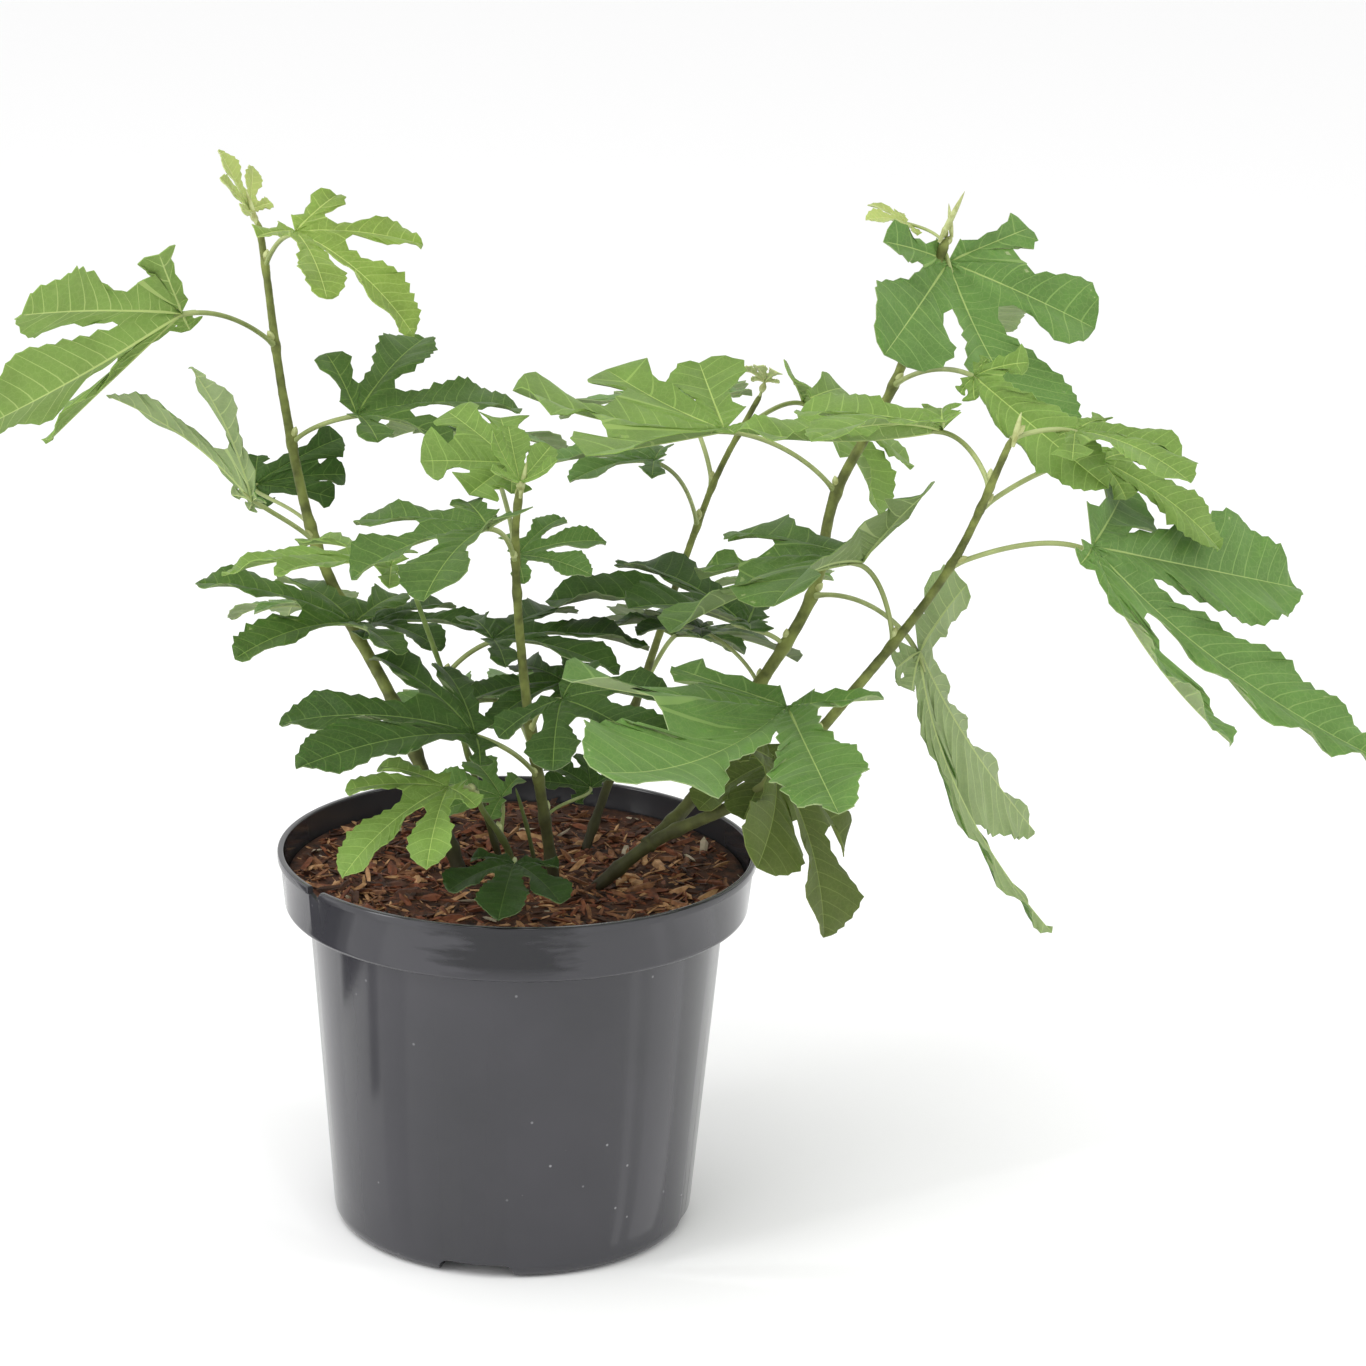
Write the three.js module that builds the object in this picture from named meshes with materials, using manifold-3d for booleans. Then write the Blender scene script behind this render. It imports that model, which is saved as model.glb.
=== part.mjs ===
// A young fig tree, Ficus carica, in a round nursery pot. Millimetres, +Z up.
// The origin is the centre of the flat pad under the pot; -Y is the front of the plant.
// Every stem, every leaf with its stalk, the pot and the filled-in bark mulch is one closed solid.
import * as THREE from "three";
import { mergeVertices } from "three/addons/utils/BufferGeometryUtils.js";
import Module from "manifold-3d";

const wasm = await Module();
wasm.setup();

// Pot: a moulded five litre container.
const POT_HEIGHT = 185;
const RIM_RADIUS = 115;
const BAND_FOOT_RADIUS = 111.5;
const BAND_HEIGHT = 28;
const WALL_TOP_RADIUS = 99.5;
const WALL_FOOT_RADIUS = 87;
const WALL_THICKNESS = 1.8;
const RIM_BEAD = 1.2;
const RIM_LIP = 3.5;
const RIM_ROUND = 0.8;
const BAND_ROUND = 3;
const FOOT_FILLET = 7;
const FLOOR_HEIGHT = 8;
const FLOOR_THICKNESS = 2;
const FOOT_WIDTH = 5;
const PAD_RADIUS = 24;
const PAD_TAPER = 2;
const POT_SIDES = 30;
const FOOT_ARCHES = 4;
const ARCH_WIDTH = 36;
const ARCH_HEIGHT = 7.5;
const FIRST_ARCH = -99;
const DRAIN_HOLES = 8;
const DRAIN_RADIUS = 5;
const DRAIN_CIRCLE = 56;
const DRAIN_SIDES = 8;
const NOTCH_WIDTH = 9;
const NOTCH_DEPTH = 6;
const NOTCH_HEADING = -143;

// Mulch and clearances.
const SOIL_HEIGHT = 173;
const GAP = 0.3;

// Leaves: five lobes, listed from the left basal lobe round to the right one.
const LOBE_HEADINGS = [95, 42, 0, -42, -95];
const REAR_HEADING = 140;
const LOBE_LENGTHS = [0.45, 0.85, 1, 0.85, 0.45];
const LOBE_LIFTS = [16, 12, 8, 12, 16];
const LOBE_TWISTS = [0, 0, 0, 0, 0];
const LOBE_DROOPS = [35, 35, 35, 35, 35];
const LOBE_WIDTHS = [0.14, 0.165, 0.175, 0.165, 0.14];
// A lobe's stations: the share of the way from its sinuses to its tip, and the share of its full width.
const LARGE_LOBE = [[0.18, 0.6], [0.55, 1], [0.84, 0.72]];
const SMALL_LOBE = [[0.4, 0.85], [0.75, 0.8]];
const SMALL_REACH = 62;
const BLEND_START = 0.25;
const BLEND_END = 0.75;
const LOBE_FOLD = 16;
const STRAIGHT = 1e-6;
const SINUS_DEPTHS = [0.13, 0.23, 0.31, 0.31, 0.23, 0.13];
const DEEPEST_SINUS = 0.72;
const SHORT_LOBE_FULLNESS = 0.4;
const LONG_LOBE_FULLNESS = 1.1;
const TWIST_START = 0.2;
const TWIST_END = 0.6;
const LEAF_THICKNESS = 0.014;
const LEAST_THICKNESS = 1;
const STALK_THICKNESS = 2.4;
const STALK_SIDES = 4;
const STALK_STEPS = 4;
const STALK_SUNK = 0.07;
const STALK_RISE = 0.4;
const STALK_ARCH = 0.3;
const SLIMMEST_STALK = 0.5;
const FULL_STALK_LEAF = 75;

// Stems: round limbs, each with a pointed bud at its end.
const LIMB_SIDES = 7;
const LIMB_STEPS = 8;
const BUD_LENGTH = 9;
const BUD_SHOULDER = 0.6;
const BUD_FULLNESS = 0.9;
const HALVINGS = 20;

const UPPER = { young: 0x8fae3c, bright: 0x6f9a45, middle: 0x5c8752, dark: 0x3f6a37, olive: 0x55663a };
const BARK = { brown: 0x6b6548, green: 0x76843f };
const CHARCOAL = 0x4b4b4f;
const BARK_MULCH = 0x5a3a28;
const POT_ROUGHNESS = 0.3;
const MULCH_ROUGHNESS = 1;
const BARK_ROUGHNESS = 0.8;
const LEAF_ROUGHNESS = 0.6;

// Stems: where each starts, the points that its middle runs through, and its thickness low and high.
const STEMS = [
  { name: "stem_left", bark: "brown", low: 7.2, high: 3.4,
    course: [[-22, -5, 160], [-58, 15, 245], [-83, 30, 287], [-101, 40, 324], [-117, 55, 388],
      [-128, 70, 455], [-131, 72, 472]] },
  { name: "stem_middle", bark: "brown", low: 5.8, high: 3.4,
    course: [[20, -10, 160], [9, -20, 233], [4, -30, 270], [0, -40, 316], [-1, -50, 354],
      [1, -55, 376]] },
  { name: "stem_slim", bark: "brown", low: 4.8, high: 2.8,
    course: [[27, 30, 160], [56, 65, 246], [81, 95, 320], [92, 105, 348], [112, 115, 386]] },
  { name: "stem_right", bark: "brown", low: 6.8, high: 3.2,
    course: [[26, -17, 160], [65, -28, 199], [102, -36, 221], [120, -45, 237], [151, -60, 280],
      [195, -80, 350], [219, -92, 413]] },
  { name: "stem_tall", bark: "brown", from: "stem_right", low: 6.8, high: 4,
    course: [[62, -28, 197], [82, -10, 214], [111, 15, 261], [137, 30, 305], [147, 45, 351],
      [173, 55, 403], [196, 60, 475]] },
  { name: "sprout_front", bark: "green", low: 4, high: 2.6,
    course: [[6, -30, 160], [-3, -34, 195], [-15, -50, 221], [-19, -55, 235]] },
  { name: "sprout_small", bark: "green", low: 2.4, high: 1.8,
    course: [[14, -22, 160], [6, -28, 202], [0, -34, 226]] },
  { name: "stem_thin", bark: "green", low: 3.4, high: 2.4,
    course: [[-5, 14, 160], [-24, 10, 225], [-36, 0, 269], [-45, -10, 299], [-50, -12, 314]] },
];

// Leaves: the stem that each grows from and how high up it, the foot of the blade, the blade's length, and
// its heading, pitch and roll. Where a leaf differs from the usual one, its width, the widths of its lobes,
// the depths of its sinuses, and its lobes' headings, lengths, lifts at the foot, droops to the tip and
// twists follow, each from the left basal lobe round to the right one.
const LEAVES = [
  { name: "leaf_left_1", stem: "stem_left", at: 468, foot: [-135, 75, 476], length: 32, tone: "young",
    turn: [157, 50, 0], lobes: [0.5, 0.75, 1, 0.8, 0.45], droops: [0, 0, 0, 0, 0] },
  { name: "leaf_left_2", stem: "stem_left", at: 450, foot: [-111, 50, 470], length: 78, tone: "young",
    turn: [335, -20, 8], width: 0.9, lobes: [0.5, 0.8, 1, 0.8, 0.4], lifts: [20, 15, 5, 15, 20],
    droops: [20, 25, 40, 30, 20] },
  { name: "leaf_left_3", stem: "stem_left", at: 413, foot: [-161, 20, 436], length: 118, tone: "bright",
    turn: [201, -25, 49], width: 1.1, sinuses: [0.06, 0.3, 0.27, 0.31, 0.23, 0.13],
    widths: [0.1, 0.15, 0.19, 0.1, 0.14], headings: [88, 43, 1, -40, -95],
    lobes: [0.41, 0.83, 0.92, 0.88, 0.12], lifts: [5, 2, -8, 8, 10], droops: [6, 11, -9, 2, 35],
    twists: [0, 0, 0, -38, 0] },
  { name: "leaf_left_4", stem: "stem_left", at: 368, foot: [-81, 40, 385], length: 82, tone: "bright",
    turn: [26, 0, 8], lobes: [0.5, 0.9, 1.05, 0.6, 0.45], lifts: [40, 30, 12, 12, 15],
    droops: [25, 30, 30, 40, 30] },
  { name: "leaf_left_5", stem: "stem_left", at: 322, foot: [-128, 20, 347], length: 90, tone: "middle",
    turn: [172, 38, 38], width: 0.65, lobes: [0.12, 0.9, 0.95, 0.15, 0.12], lifts: [10, 20, 12, 10, 10],
    droops: [35, 22, 33, 35, 35] },
  { name: "leaf_left_6", stem: "stem_left", at: 330, foot: [-135, 90, 338], length: 46, tone: "dark",
    turn: [10, 10, 50], width: 1.35, sinuses: [0.22, 0.5, 0.82, 0.8, 0.5, 0.22],
    widths: [0.14, 0.12, 0.11, 0.12, 0.14], headings: [75, 22, 0, -20, -75],
    lobes: [0.35, 1.12, 1, 0.87, 0.3] },
  { name: "leaf_left_7", stem: "stem_left", at: 286, foot: [-79, 2, 293], length: 88, tone: "dark",
    turn: [179, 14, -4], width: 0.88, headings: [118, 44, 0, -50, -110],
    lobes: [0.6, 0.78, 0.88, 0.7, 0.55], lifts: [19, 7, 14, 12, 17], droops: [20, 40, 30, 35, 25] },
  { name: "leaf_left_8", stem: "stem_left", at: 280, foot: [-73, 36, 284], length: 62, tone: "dark",
    turn: [358, 5, 3], lobes: [0.35, 0.8, 1.02, 0.8, 0.35] },
  { name: "leaf_left_9", stem: "stem_left", at: 296, foot: [-112, 92, 277], length: 56, tone: "middle",
    turn: [105, -12, -6] },
  { name: "leaf_thin_1", stem: "stem_thin", at: 312, foot: [-59, -30, 330], length: 77, tone: "bright",
    turn: [178, 5, 0], width: 0.75, lobes: [0.35, 0.85, 1.04, 0.85, 0.45], lifts: [10, 15, 8, 11, 13],
    droops: [35, 28, 37, 34, 31] },
  { name: "leaf_thin_2", stem: "stem_thin", at: 268, foot: [-13, -5, 289], length: 79, tone: "dark",
    turn: [18, 2, 4], width: 0.9 },
  { name: "leaf_middle_1", stem: "stem_middle", at: 372, foot: [1, -58, 378], length: 34, tone: "bright",
    turn: [108, 21, 8], width: 1.3, lobes: [0.5, 0.78, 0.97, 0.83, 0.6], lifts: [16, 27, 14, 13, 30],
    droops: [-10, -25, -5, -5, -30] },
  { name: "leaf_middle_2", stem: "stem_middle", at: 366, foot: [-4, -30, 380], length: 50, tone: "bright",
    turn: [193, 7, -30], width: 1.9, sinuses: [0.3, 0.5, 0.66, 0.66, 0.5, 0.3],
    headings: [83, 48, 3, -46, -87], lobes: [0.45, 0.66, 0.85, 0.81, 0.69], lifts: [9, 7, 1, 8, 3],
    droops: [9, 12, 8, 11, 17] },
  { name: "leaf_middle_3", stem: "stem_middle", at: 338, foot: [-12, -80, 362], length: 76, tone: "bright",
    turn: [205, -9, 2], width: 1.2, sinuses: [0.17, 0.3, 0.4, 0.4, 0.3, 0.17],
    lobes: [0.44, 0.92, 0.9, 0.84, 0.4], lifts: [26, 8, 11, 16, 20], droops: [12, 36, 36, 25, 20] },
  { name: "leaf_middle_4", stem: "stem_middle", at: 322, foot: [-1, -20, 334], length: 44, tone: "middle",
    turn: [10, 16, 20], lobes: [0.45, 0.8, 0.97, 0.9, 0.5] },
  { name: "leaf_middle_5", stem: "stem_middle", at: 255, foot: [21, 0, 268], length: 54, tone: "dark",
    turn: [172, -9, -14], lobes: [0.45, 0.85, 1.05, 0.74, 0.45] },
  { name: "leaf_middle_6", stem: "stem_middle", at: 250, foot: [22, -70, 280], length: 62, tone: "dark",
    turn: [318, -5, 20], width: 1.2, sinuses: [0.16, 0.28, 0.37, 0.37, 0.28, 0.16],
    headings: [108, 44, 0, -52, -99], lobes: [0.5, 0.8, 1.05, 0.8, 0.6] },
  { name: "leaf_middle_7", stem: "stem_middle", at: 226, foot: [-18, -60, 259], length: 104, tone: "dark",
    turn: [194, 16, -19], width: 0.78, headings: [95, 32, 0, -49, -80], lobes: [0.2, 1, 0.88, 0.66, 0.56],
    lifts: [10, 13, 8, 14, 11], droops: [35, 30, 40, 33, 30] },
  { name: "leaf_middle_8", stem: "stem_middle", at: 236, foot: [-13, 55, 242], length: 84, tone: "middle",
    turn: [125, -8, -5] },
  { name: "leaf_middle_9", stem: "stem_middle", at: 205, foot: [34, 15, 211], length: 28, tone: "dark",
    turn: [146, 22, -21], width: 1.3, sinuses: [0.2, 0.35, 0.46, 0.46, 0.35, 0.2],
    droops: [35, 10, 40, 35, 35] },
  { name: "leaf_middle_10", stem: "stem_middle", at: 345, foot: [-24, 70, 369], length: 74, tone: "middle",
    turn: [95, -10, 5] },
  { name: "leaf_slim_1", stem: "stem_slim", at: 383, foot: [113, 112, 392], length: 17, tone: "young",
    turn: [250, 45, 0] },
  { name: "leaf_slim_2", stem: "stem_slim", at: 366, foot: [133, 135, 377], length: 78, tone: "bright",
    turn: [325, -31, -18], width: 1.2, lobes: [0.53, 0.88, 0.94, 0.87, 0.44], lifts: [23, 15, 6, 15, 26],
    droops: [17, 27, 41, 29, 13] },
  { name: "leaf_slim_3", stem: "stem_slim", at: 322, foot: [60, 60, 362], length: 58, tone: "middle",
    turn: [174, 3, -4] },
  { name: "leaf_slim_4", stem: "stem_slim", at: 340, foot: [72, 150, 372], length: 84, tone: "middle",
    turn: [110, -8, -4] },
  { name: "leaf_slim_5", stem: "stem_slim", at: 238, foot: [72, 110, 262], length: 88, tone: "dark",
    turn: [70, -10, 6] },
  { name: "leaf_tall_1", stem: "stem_tall", at: 471, foot: [177, 80, 477], length: 24, tone: "young",
    turn: [217, 16, -24] },
  { name: "leaf_tall_2", stem: "stem_tall", at: 468, foot: [197, 66, 461], length: 107, tone: "middle",
    turn: [303, -54, -13], width: 1.15, sinuses: [0.13, 0.42, 0.31, 0.31, 0.26, 0.13],
    widths: [0.1, 0.22, 0.21, 0.2, 0.11], headings: [105, 47, -5, -54, -97],
    lobes: [0.52, 0.72, 1.14, 0.82, 0.46], lifts: [19, 27, 4, 5, 16], droops: [13, 9, -23, 5, 17] },
  { name: "leaf_tall_3", stem: "stem_tall", at: 403, foot: [207, -10, 422], length: 86, tone: "bright",
    turn: [296, -10, 54], width: 0.85, headings: [95, 42, -2, -42, -95],
    lobes: [0.12, 0.35, 1.18, 0.15, 0.12], lifts: [16, 12, 10, 12, 16], droops: [35, 35, 50, 35, 35] },
  { name: "leaf_tall_4", stem: "stem_tall", at: 352, foot: [93, 25, 386], length: 110, tone: "bright",
    turn: [188, -10, -2], width: 1.25, sinuses: [0.16, 0.28, 0.6, 0.72, 0.24, 0.16],
    widths: [0.12, 0.13, 0.175, 0.165, 0.17], headings: [99, 40, 2, -51, -89],
    lobes: [0.15, 0.85, 0.94, 0.7, 0.55], lifts: [18, 9, 9, 11, 17], droops: [21, -2, -25, -14, -2] },
  { name: "leaf_tall_5", stem: "stem_tall", at: 305, foot: [185, -40, 299], length: 156, tone: "middle",
    turn: [210, -109, 67], width: 1, sinuses: [0.13, 0.13, 0.2, 0.24, 0.14, 0.13],
    widths: [0.14, 0.14, 0.055, 0.12, 0.16], headings: [95, 42, -6, -28, -96],
    lobes: [0.12, 0.12, 1.08, 1.08, 0.35], lifts: [5, 5, 16, 16, 13], droops: [10, 10, 46, 16, 13],
    twists: [0, 0, -42, -25, 0] },
  { name: "leaf_tall_6", stem: "stem_tall", at: 282, foot: [106, 15, 293], length: 103, tone: "dark",
    turn: [176, 10, -9], lobes: [0.3, 0.75, 0.95, 0.87, 0.45], lifts: [40, 32, 12, 12, 14] },
  { name: "leaf_tall_7", stem: "stem_tall", at: 264, foot: [84, 38, 285], length: 46, tone: "dark",
    turn: [177, 8, 6] },
  { name: "leaf_tall_8", stem: "stem_tall", at: 430, foot: [219, 112, 435], length: 70, tone: "middle",
    turn: [78, -16, 4] },
  { name: "leaf_tall_9", stem: "stem_tall", at: 318, foot: [126, 105, 291], length: 56, tone: "middle",
    turn: [105, -8, -4] },
  { name: "leaf_right_1", stem: "stem_right", at: 411, foot: [248, -75, 412], length: 62, tone: "bright",
    turn: [305, -9, 11], width: 1.15, headings: [95, 37, 12, -42, -95],
    lobes: [0.3, 0.8, 1.06, 0.4, 0.15], lifts: [16, 8, 13, 12, 16] },
  { name: "leaf_right_2", stem: "stem_right", at: 388, foot: [190, -60, 408], length: 101, tone: "bright",
    turn: [181, -14, -6], width: 0.95, headings: [95, 38, 1, -39, -95],
    lobes: [0.2, 0.78, 0.92, 0.79, 0.3], lifts: [45, 33, 1, 13, 16], droops: [35, 31, -24, 19, 35] },
  { name: "leaf_right_3", stem: "stem_right", at: 378, foot: [262, -50, 393], length: 74, tone: "bright",
    turn: [6, -22, 34], width: 1.2, widths: [0.14, 0.14, 0.12, 0.14, 0.14],
    headings: [95, 44, -10, -44, -95], lobes: [0.12, 0.3, 0.96, 0.3, 0.15] },
  { name: "leaf_right_4", stem: "stem_right", at: 350, foot: [257, -85, 362], length: 158, tone: "middle",
    turn: [6, -49, 27], width: 0.75, sinuses: [0.13, 0.16, 0.22, 0.25, 0.2, 0.13],
    widths: [0.26, 0.24, 0.17, 0.13, 0.14], headings: [85, 39, 1, -50, -95],
    lobes: [0.37, 0.82, 1.07, 0.79, 0.1], lifts: [8, 12, 2, 6, 10], droops: [13, 0, -26, -24, 35],
    twists: [0, 0, 0, -12, 0] },
  { name: "leaf_right_5", stem: "stem_right", at: 310, foot: [156, -70, 349], length: 116, tone: "middle",
    turn: [212, -8, 20], width: 1.15, sinuses: [0.2, 0.4, 0.72, 0.6, 0.4, 0.2],
    headings: [96, 32, -5, -46, -79], lobes: [0.52, 0.8, 0.87, 0.67, 0.73], lifts: [27, 12, 7, 20, 24],
    droops: [11, 32, 22, 24, 12] },
  { name: "leaf_right_6", stem: "stem_right", at: 262, foot: [124, -90, 285], length: 126, tone: "middle",
    turn: [241, -11, 13], width: 1.15, sinuses: [0.12, 0.2, 0.25, 0.64, 0.35, 0.12],
    widths: [0.08, 0.12, 0.2, 0.14, 0.1], headings: [93, 38, 1, -42, -93],
    lobes: [0.39, 1.02, 1.25, 0.85, 0.48], lifts: [5, -3, 1, 23, 21], droops: [9, 0, -27, -9, 1],
    twists: [0, 0, -30, 0, 0] },
  { name: "leaf_right_7", stem: "stem_right", at: 236, foot: [123, -13, 236], length: 52, tone: "olive",
    turn: [216, -11, -5], width: 1.35, sinuses: [0.22, 0.39, 0.53, 0.53, 0.39, 0.22],
    headings: [95, 33, 0, -43, -87], lobes: [0.45, 0.98, 0.95, 0.75, 0.55] },
  { name: "leaf_right_8", stem: "stem_right", at: 240, foot: [119, -56, 249], length: 86, tone: "olive",
    turn: [302, -41, -29], width: 1.25, sinuses: [0.2, 0.35, 0.46, 0.46, 0.35, 0.2],
    headings: [84, 46, 0, -37, -95], lobes: [0.5, 0.66, 1.04, 0.9, 0.4] },
  { name: "leaf_front_1", stem: "sprout_front", at: 229, foot: [-29, -75, 238], length: 66, tone: "bright",
    turn: [223, -12, -6], width: 0.85, sinuses: [0.15, 0.25, 0.33, 0.33, 0.25, 0.15],
    headings: [82, 39, 0, -43, -80], lobes: [0.37, 0.88, 1.04, 0.72, 0.64], lifts: [16, 9, 5, 16, 12],
    droops: [28, 36, 42, 29, 28] },
  { name: "leaf_front_2", stem: "sprout_front", at: 202, foot: [-7, -25, 218], length: 40, tone: "middle",
    turn: [162, 10, -20], width: 1.2 },
  { name: "leaf_front_3", stem: "sprout_front", at: 184, foot: [2, -80, 204], length: 46, tone: "dark",
    turn: [264, -6, -3], width: 1.3, sinuses: [0.17, 0.3, 0.4, 0.4, 0.3, 0.17] },
];

// A geometry with shared corners, as a solid that can be joined and cut.
function solidOf(geometry) {
  const plain = geometry.clone();
  plain.deleteAttribute("normal");
  plain.deleteAttribute("uv");
  const merged = mergeVertices(plain, 1e-4);
  return new wasm.Manifold(
    new wasm.Mesh({
      numProp: 3,
      vertProperties: merged.attributes.position.array,
      triVerts: new Uint32Array(merged.index.array),
    }),
  );
}

function meshOf(name, solid, color, roughness) {
  const cut = solid.getMesh();
  const geometry = new THREE.BufferGeometry();
  geometry.setAttribute("position", new THREE.BufferAttribute(cut.vertProperties, 3));
  geometry.setIndex(new THREE.BufferAttribute(cut.triVerts, 1));
  geometry.computeVertexNormals();
  const mesh = new THREE.Mesh(geometry, new THREE.MeshStandardMaterial({ color, roughness, metalness: 0 }));
  mesh.name = name;
  return mesh;
}

// A turned piece: its closed profile of radius and height spun about the pot's own axis.
function turned(profile) {
  const points = profile.map(([radius, height]) => new THREE.Vector2(radius, height));
  return solidOf(new THREE.LatheGeometry(points, POT_SIDES).rotateX(Math.PI / 2));
}

// The pot's wall outside and inside, at a height above the fillet and below the band.
function wallRadius(height) {
  const bandFoot = POT_HEIGHT - BAND_HEIGHT;
  return THREE.MathUtils.mapLinear(height, FOOT_FILLET, bandFoot, WALL_FOOT_RADIUS, WALL_TOP_RADIUS);
}

function potShell() {
  const bandFoot = POT_HEIGHT - BAND_HEIGHT;
  const floorTop = FLOOR_HEIGHT + FLOOR_THICKNESS;
  const skirt = WALL_FOOT_RADIUS - FOOT_FILLET;
  const rounded = FOOT_FILLET * (1 - Math.SQRT1_2);
  const ledge = bandFoot + WALL_THICKNESS;
  return turned([
    [0, 0],
    [PAD_RADIUS, 0],
    [PAD_RADIUS + PAD_TAPER, FLOOR_HEIGHT],
    [skirt - FOOT_WIDTH, FLOOR_HEIGHT],
    [skirt - FOOT_WIDTH, 0],
    [skirt, 0],
    [WALL_FOOT_RADIUS - rounded, rounded],
    [WALL_FOOT_RADIUS, FOOT_FILLET],
    [wallRadius(bandFoot), bandFoot],
    [BAND_FOOT_RADIUS - BAND_ROUND, bandFoot],
    [BAND_FOOT_RADIUS, bandFoot + BAND_ROUND],
    [RIM_RADIUS - RIM_BEAD, POT_HEIGHT - RIM_LIP],
    [RIM_RADIUS, POT_HEIGHT - RIM_LIP],
    [RIM_RADIUS, POT_HEIGHT - RIM_ROUND],
    [RIM_RADIUS - RIM_ROUND, POT_HEIGHT],
    [RIM_RADIUS - RIM_BEAD - WALL_THICKNESS, POT_HEIGHT],
    [BAND_FOOT_RADIUS - WALL_THICKNESS, ledge + BAND_ROUND],
    [wallRadius(ledge) - WALL_THICKNESS, ledge],
    [wallRadius(floorTop) - WALL_THICKNESS, floorTop],
    [0, floorTop],
  ]);
}

// A round or square cutter that stands radially from the pot's axis at a heading.
function placed(geometry, heading) {
  return solidOf(geometry.rotateZ(THREE.MathUtils.degToRad(heading)));
}

function pot() {
  let shell = potShell();
  const skirt = WALL_FOOT_RADIUS - FOOT_FILLET;
  for (let arch = 0; arch < FOOT_ARCHES; arch += 1) {
    const opening = new THREE.BoxGeometry(4 * FOOT_WIDTH, ARCH_WIDTH, 2 * ARCH_HEIGHT);
    opening.translate(skirt, 0, 0);
    shell = shell.subtract(placed(opening, FIRST_ARCH + (360 / FOOT_ARCHES) * arch));
  }
  for (let hole = 0; hole < DRAIN_HOLES; hole += 1) {
    const drain = new THREE.CylinderGeometry(DRAIN_RADIUS, DRAIN_RADIUS, 4 * FLOOR_THICKNESS, DRAIN_SIDES);
    drain.rotateX(Math.PI / 2).translate(DRAIN_CIRCLE, 0, FLOOR_HEIGHT + FLOOR_THICKNESS / 2);
    shell = shell.subtract(placed(drain, (360 / DRAIN_HOLES) * (hole + 0.5)));
  }
  const notch = new THREE.BoxGeometry(8 * WALL_THICKNESS, NOTCH_WIDTH, 2 * NOTCH_DEPTH);
  notch.translate(RIM_RADIUS - WALL_THICKNESS, 0, POT_HEIGHT);
  shell = shell.subtract(placed(notch, NOTCH_HEADING));
  return meshOf("pot", shell, CHARCOAL, POT_ROUGHNESS);
}

// The bark mulch fills the pot, 0.3 mm clear of its floor and wall.
function mulch() {
  const bandFoot = POT_HEIGHT - BAND_HEIGHT;
  const inside = WALL_THICKNESS + GAP;
  const floor = FLOOR_HEIGHT + FLOOR_THICKNESS + GAP;
  const ledge = bandFoot + WALL_THICKNESS + GAP;
  const filled = turned([
    [0, floor],
    [wallRadius(floor) - inside, floor],
    [wallRadius(ledge) - inside, ledge],
    [BAND_FOOT_RADIUS - inside, ledge + BAND_ROUND],
    [BAND_FOOT_RADIUS - inside, SOIL_HEIGHT],
    [0, SOIL_HEIGHT],
  ]);
  return meshOf("mulch", filled, BARK_MULCH, MULCH_ROUGHNESS);
}

// A limb: a tapering turned rod, bent along the curve through its course, cut level just over the mulch.
// Extra is added to its radius where it is used as a cutter for what stands on it.
function limbRod(stem, extra) {
  const curve = new THREE.CatmullRomCurve3(stem.course.map((point) => new THREE.Vector3(...point)));
  const length = curve.getLength();
  const profile = [new THREE.Vector2(0, 0)];
  for (let step = 0; step <= LIMB_STEPS; step += 1) {
    const share = step / LIMB_STEPS;
    const radius = THREE.MathUtils.lerp(stem.low, stem.high, share) / 2 + extra;
    profile.push(new THREE.Vector2(radius, share * (length - BUD_LENGTH)));
  }
  const shoulder = (stem.high / 2) * BUD_FULLNESS + extra;
  profile.push(new THREE.Vector2(shoulder, length - BUD_LENGTH * BUD_SHOULDER));
  profile.push(new THREE.Vector2(0, length + extra));
  const rod = new THREE.LatheGeometry(profile, LIMB_SIDES);
  return solidOf(bentAlong(rod, curve, length));
}

// Each corner of an upright geometry moves to the same place round a curve.
function bentAlong(geometry, curve, length) {
  const side = new THREE.Vector3();
  const front = new THREE.Vector3();
  const corners = geometry.attributes.position;
  const moved = new THREE.Vector3();
  for (let i = 0; i < corners.count; i += 1) {
    const along = corners.getY(i) / length;
    const tangent = curve.getTangentAt(Math.min(along, 1));
    side.set(0, 1, 0).cross(tangent).normalize();
    front.crossVectors(side, tangent);
    moved.copy(curve.getPointAt(Math.min(along, 1)));
    moved.addScaledVector(side, corners.getX(i)).addScaledVector(front, corners.getZ(i));
    moved.addScaledVector(tangent, Math.max(along - 1, 0) * length);
    corners.setXYZ(i, moved.x, moved.y, moved.z);
  }
  return geometry;
}

function belowMulch() {
  const side = 4 * RIM_RADIUS;
  const block = new THREE.BoxGeometry(side, side, POT_HEIGHT);
  return solidOf(block.translate(0, 0, SOIL_HEIGHT + GAP - POT_HEIGHT / 2));
}

// Where a limb's middle stands at a height, found by halving the stretch that it lies in.
function pointOnLimb(stem, height) {
  const curve = new THREE.CatmullRomCurve3(stem.course.map((point) => new THREE.Vector3(...point)));
  let low = 0;
  let high = 1;
  for (let halving = 0; halving < HALVINGS; halving += 1) {
    const middle = (low + high) / 2;
    if (curve.getPointAt(middle).z < height) low = middle;
    else high = middle;
  }
  return { point: curve.getPointAt(low), tangent: curve.getTangentAt(low) };
}

// The blade's own axes: forward along the midrib, left across it, and up out of its upper side.
function bladeAxes(leaf) {
  const [heading, pitch, roll] = leaf.turn.map(THREE.MathUtils.degToRad);
  const turn = new THREE.Euler(roll, -pitch, heading, "ZYX");
  return {
    forward: new THREE.Vector3(1, 0, 0).applyEuler(turn),
    left: new THREE.Vector3(0, 1, 0).applyEuler(turn),
    up: new THREE.Vector3(0, 0, 1).applyEuler(turn),
  };
}

function reachOf(leaf, lobe) {
  return leaf.length * leaf.lobes[lobe];
}

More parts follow.
